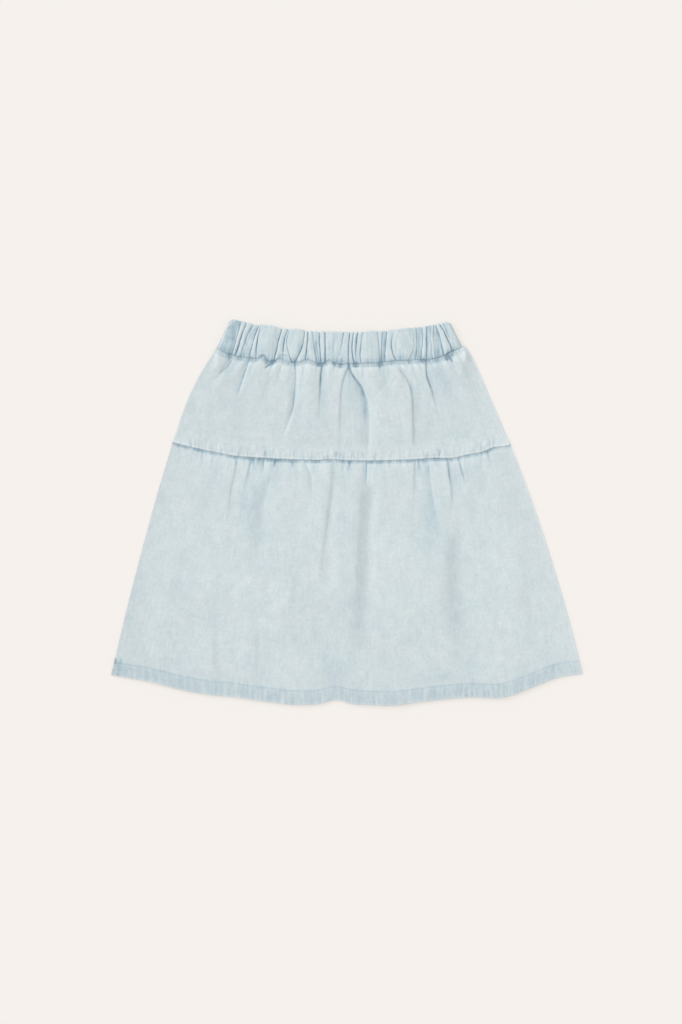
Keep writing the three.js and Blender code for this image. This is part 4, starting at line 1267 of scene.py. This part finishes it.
class Finish:
    """A material in the making."""

    def __init__(self, name, roughness, sheen=0.0):
        self.material = bpy.data.materials.new(name)
        self.material.use_nodes = True
        self.tree = self.material.node_tree
        self.shader = self.tree.nodes["Principled BSDF"]
        self.shader.inputs["Roughness"].default_value = roughness
        self.shader.inputs["Sheen Weight"].default_value = sheen
        self.shader.inputs["Sheen Roughness"].default_value = 0.6
        self.shader.inputs["Specular IOR Level"].default_value = 0.18

    def node(self, kind, settings, inputs, output=0):
        node = self.tree.nodes.new(kind)
        for key, value in settings.items():
            setattr(node, key, value)
        for key, value in inputs.items():
            self.feed(node.inputs[key], value)
        return Value(self, node.outputs[output])

    def feed(self, socket, value):
        if isinstance(value, Value):
            self.tree.links.new(value.socket, socket)
        else:
            socket.default_value = value

    def mix(self, share, a, b):
        """A colour between a and b."""
        return self.node("ShaderNodeMix", {"data_type": "RGBA"}, {0: share, 6: a, 7: b}, output=2)

    def attribute(self, name):
        return self.node("ShaderNodeAttribute", {"attribute_name": name}, {}, output=2)

    def noise(self, place, scale, detail, roughness=0.55):
        inputs = {"Vector": place, "Scale": scale, "Detail": detail, "Roughness": roughness}
        return self.node("ShaderNodeTexNoise", {}, inputs)

    def pattern(self, place, pattern):
        """A noise that is stretched, set elsewhere and cut off at its low and its high."""
        scale = (pattern.across, pattern.down, 1)
        inputs = {"Vector": place, "Location": (*pattern.start, 0), "Scale": scale}
        moved = self.node("ShaderNodeMapping", {}, inputs)
        noise = self.noise(moved, pattern.scale, pattern.detail, pattern.roughness)
        return noise.spread(pattern.low, pattern.high) if pattern.high else noise

    def axes(self, place):
        """The first two coordinates of a place."""
        node = self.node("ShaderNodeSeparateXYZ", {}, {0: place}).socket.node
        return Value(self, node.outputs[0]), Value(self, node.outputs[1])


WASHED = linear(228, 237, 238)
FADED = linear(203, 216, 219)
BLUE = linear(168, 198, 213)
INDIGO = linear(86, 127, 149)
WORN_AND_LIT = linear(240, 246, 246)
ROSE = linear(219, 221, 227)
MINT = linear(206, 225, 222)
THREAD = linear(172, 196, 207)
# A grey for painted shade.
PAINTED_SHADE_GREY = linear(150, 160, 165)
BLACK = (0, 0, 0, 1)

# A pattern in the cloth is a noise. A smaller number across or down draws it out that way. Next come
# where it starts, how fine it is to the metre, its detail and its roughness, and the low and the high
# where it is cut off.
Pattern = namedtuple("Pattern", "across down start scale detail roughness low high")
MOTTLE = Pattern(1.0, 0.7, (0, 0), 95.0, 5.0, 0.6, 0.36, 0.66)
CLOUDS = Pattern(1.0, 0.5, (3.1, 1.7), 16.0, 3.0, 0.55, 0.36, 0.66)
ROSY = Pattern(1.0, 0.7, (6.3, 4.9), 34.0, 2.0, 0.55, 0.45, 0.75)
MINTY = Pattern(1.0, 0.7, (1.3, 7.7), 40.0, 2.0, 0.55, 0.45, 0.75)
BLUISH = Pattern(1.0, 0.5, (8.8, 0.4), 24.0, 2.0, 0.55, 0.48, 0.75)
SLUBS = Pattern(1.0, 0.16, (0.7, 5.3), 430.0, 3.0, 0.6, 0.34, 0.7)
WEFT = Pattern(0.16, 1.0, (9.2, 2.2), 430.0, 2.0, 0.55, 0.34, 0.7)
SPECKS = Pattern(1.0, 0.7, (4.4, 8.1), 340.0, 3.0, 0.7, 0.42, 0.72)
PUCKERED = Pattern(1.0, 0.5, (2.2, 6.1), 160.0, 4.0, 0.6, 0, 0)  # not cut off
TWILL_PITCH, WARP_PITCH = 0.00085, 0.0006  # in metres


def denim(name, base_dye):
    """Washed denim: pale, mottled and streaked along the warp, bluer in its hollows and worn pale on its
    crests, and carrying the painted light and shade of its marks."""
    finish = Finish(name, 0.9, 0.12)
    cloth = finish.node("ShaderNodeUVMap", {"uv_map": "threads"}, {})
    wear, dye, grey = (finish.attribute(mark) for mark in ("wear", "dye", "grey"))

    patterns = (MOTTLE, CLOUDS, ROSY, MINTY, BLUISH, SLUBS, WEFT, SPECKS)
    mottle, clouds, rosy, minty, bluish, slubs, weft, specks = (
        finish.pattern(cloth, pattern) for pattern in patterns
    )
    sideways, along = finish.axes(cloth)
    twill = (((sideways + along) * (2 * math.pi / TWILL_PITCH)).sine() * 0.5 + 0.5) ** 1.5
    warp = (sideways * (2 * math.pi / WARP_PITCH)).sine() * 0.5 + 0.5

    colour = finish.mix((mottle * 0.45 + clouds * 0.27 + base_dye).clamped(), WASHED, FADED)
    colour = finish.mix(bluish * 0.16, colour, BLUE)
    colour = finish.mix(rosy * 0.35, colour, ROSE)
    colour = finish.mix(minty * 0.4, colour, MINT)
    # The dye mark, with the painted shade that it carries, turns the cloth blue and then indigo.
    stain_and_shade = (dye * (mottle * 0.5 + slubs * 0.3 + 0.6)).clamped()
    colour = finish.mix(stain_and_shade.spread(0.0, 0.6) * 0.8, colour, BLUE)
    colour = finish.mix(stain_and_shade.spread(0.3, 1.0) * 0.9, colour, INDIGO)
    # Grey painted shade in hollows, over shoulders and along the side that the window light brightens.
    colour = finish.mix(grey.clamped() * 0.3, colour, PAINTED_SHADE_GREY)
    colour = finish.mix(slubs * 0.24, colour, WORN_AND_LIT)
    colour = finish.mix(weft * 0.24, colour, FADED)
    colour = finish.mix(specks * 0.11, colour, INDIGO)
    colour = finish.mix((1 - twill) * 0.08, colour, INDIGO)
    # Pale where worn, and painted light where the mark carries it.
    colour = finish.mix((wear * (slubs * 0.5 + 0.6)).clamped() * 0.75, colour, WORN_AND_LIT)
    finish.feed(finish.shader.inputs["Base Color"], colour)
    finish.feed(finish.shader.inputs["Roughness"], mottle * -0.08 + 0.94)

    weave = twill * 0.6 + warp * 0.25 + slubs * 0.5 + weft * 0.3
    bump = finish.node("ShaderNodeBump", {}, {"Strength": 0.5, "Distance": 0.00018, "Height": weave})
    puckered = finish.pattern(cloth, PUCKERED)
    settings = {"Strength": 0.35, "Distance": 0.0006, "Height": puckered, "Normal": bump}
    finish.feed(finish.shader.inputs["Normal"], finish.node("ShaderNodeBump", {}, settings))
    return finish.material


def thread_finish():
    finish = Finish("sewing_thread", 0.7, 0.1)
    place = finish.node("ShaderNodeTexCoord", {}, {}, output=3)
    twist = finish.noise(place, 1400.0, 2.0).spread(0.3, 0.7)
    finish.feed(finish.shader.inputs["Base Color"], finish.mix(twist * 0.5, THREAD, BLUE))
    return finish.material


# The floor is a light table: half of its brightness is light that falls on it, and it gives off the
# rest.
FLOOR_SHADED, FLOOR_GLOW = 0.5, 0.491


def floor_finish():
    finish = Finish("pale_floor", 0.95)
    place = finish.node("ShaderNodeTexCoord", {}, {}, output=3)
    paper = finish.noise(place, 3.0, 2.0).spread(0.2, 0.8)
    colour = finish.mix(paper * 0.15, linear(247, 242, 238), linear(245, 240, 236))
    finish.feed(finish.shader.inputs["Base Color"], finish.mix(FLOOR_SHADED, BLACK, colour))
    finish.feed(finish.shader.inputs["Emission Color"], colour)
    finish.shader.inputs["Emission Strength"].default_value = FLOOR_GLOW
    return finish.material


# ---- Stage ----
FLOOR_SIZE, FLOOR_DROP = 24.0, 0.0003  # in metres
ROOM_LIGHT, WINDOW_LIGHT = 0.634, 1.38
WINDOW_WIDTH = math.radians(60)  # how wide the window looks from the skirt
WINDOW_TURN = (math.radians(-20), math.radians(-30), 0)


def make_floor():
    deselect()
    bpy.ops.mesh.primitive_plane_add(size=FLOOR_SIZE, location=(0, 0, -FLOOR_DROP))
    floor = bpy.context.object
    floor.name = "floor"
    bpy.ops.object.transform_apply(location=True)
    floor.data.materials.append(floor_finish())


def make_lights():
    world = bpy.data.worlds.new("soft_room")
    world.use_nodes = True
    world.node_tree.nodes["Background"].inputs["Color"].default_value = (1, 1, 1, 1)
    world.node_tree.nodes["Background"].inputs["Strength"].default_value = ROOM_LIGHT
    bpy.context.scene.world = world
    light = bpy.data.lights.new("window", "SUN")
    light.energy = WINDOW_LIGHT
    light.angle = WINDOW_WIDTH
    window = bpy.data.objects.new("window", light)
    window.rotation_euler = WINDOW_TURN
    bpy.context.scene.collection.objects.link(window)


VIEW_CENTRE = (-6.2, -0.6)
VIEW_HEIGHT = 1146.9  # what the picture's long side takes in
VIEW_LEVEL = 5.0  # the height at which it takes in so much, half way up the skirt
LENS = 100.0
SENSOR = 36.0


def make_camera():
    camera = bpy.data.cameras.new("camera")
    camera.lens, camera.sensor_width = LENS, SENSOR
    camera.clip_end = 100
    holder = bpy.data.objects.new("camera", camera)
    away = VIEW_HEIGHT * LENS / SENSOR
    holder.location = Vector((VIEW_CENTRE[0] + SHIFT_X, VIEW_CENTRE[1] + SHIFT_Y, away + VIEW_LEVEL)) * MM
    bpy.context.scene.collection.objects.link(holder)
    bpy.context.scene.camera = holder


# ---- The whole scene ----
make_camera()
make_lights()
make_floor()
tier_denim = denim("washed_denim", 0.0)
casing_denim = denim("casing_denim", 0.12)
thread = thread_finish()

front_casing, front_casing_cloth = casing_front(casing_denim)
front_lower, front_lower_cloth = lower_front(tier_denim)
back_lower, back_lower_cloth = lower_back(tier_denim)
waist_line = front_casing_cloth.row_of(front_casing_cloth.high, WAIST_STITCH_LINE)
front_hem_line = front_lower_cloth.row_of(front_lower_cloth.high, STITCH_LINE)
back_hem_line = back_lower_cloth.row_of(back_lower_cloth.low - 0.1, STITCH_LINE)
waist_stitches = stitches("waist_stitches", waist_line, thread)
front_hem_stitches = stitches("hem_stitches_front", front_hem_line, thread)
back_hem_stitches = stitches("hem_stitches_back", back_hem_line, thread)

CASING_CUT, UPPER_CUT, LOWER_CUT = (0.345, 0.037), (0.376, 0.108), (0.528, 0.29)
PIECES = (
    ("waistband_back", casing_back(casing_denim), "denim_casing", CASING_CUT, "floor", []),
    ("upper_tier_back", upper_back(tier_denim), "denim", UPPER_CUT, "floor", []),
    ("lower_tier_back", back_lower, "denim", LOWER_CUT, "floor", [back_hem_stitches]),
    ("waistband_front", front_casing, "denim_casing", CASING_CUT, "casing_back", [waist_stitches]),
    ("upper_tier_front", upper_front(tier_denim), "denim", UPPER_CUT, "upper_back", []),
    ("lower_tier_front", front_lower, "denim", LOWER_CUT, "lower_back", [front_hem_stitches]),
)
for node, piece, slot, flat, under, sewn_on in PIECES:
    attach(piece, "root")
    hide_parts(node)
for seam in (waist_stitches, front_hem_stitches, back_hem_stitches):
    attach(seam, "root")

scene = bpy.context.scene
scene.view_settings.view_transform = "Standard"
scene.view_settings.look = "None"

bpy.context.view_layer.update()
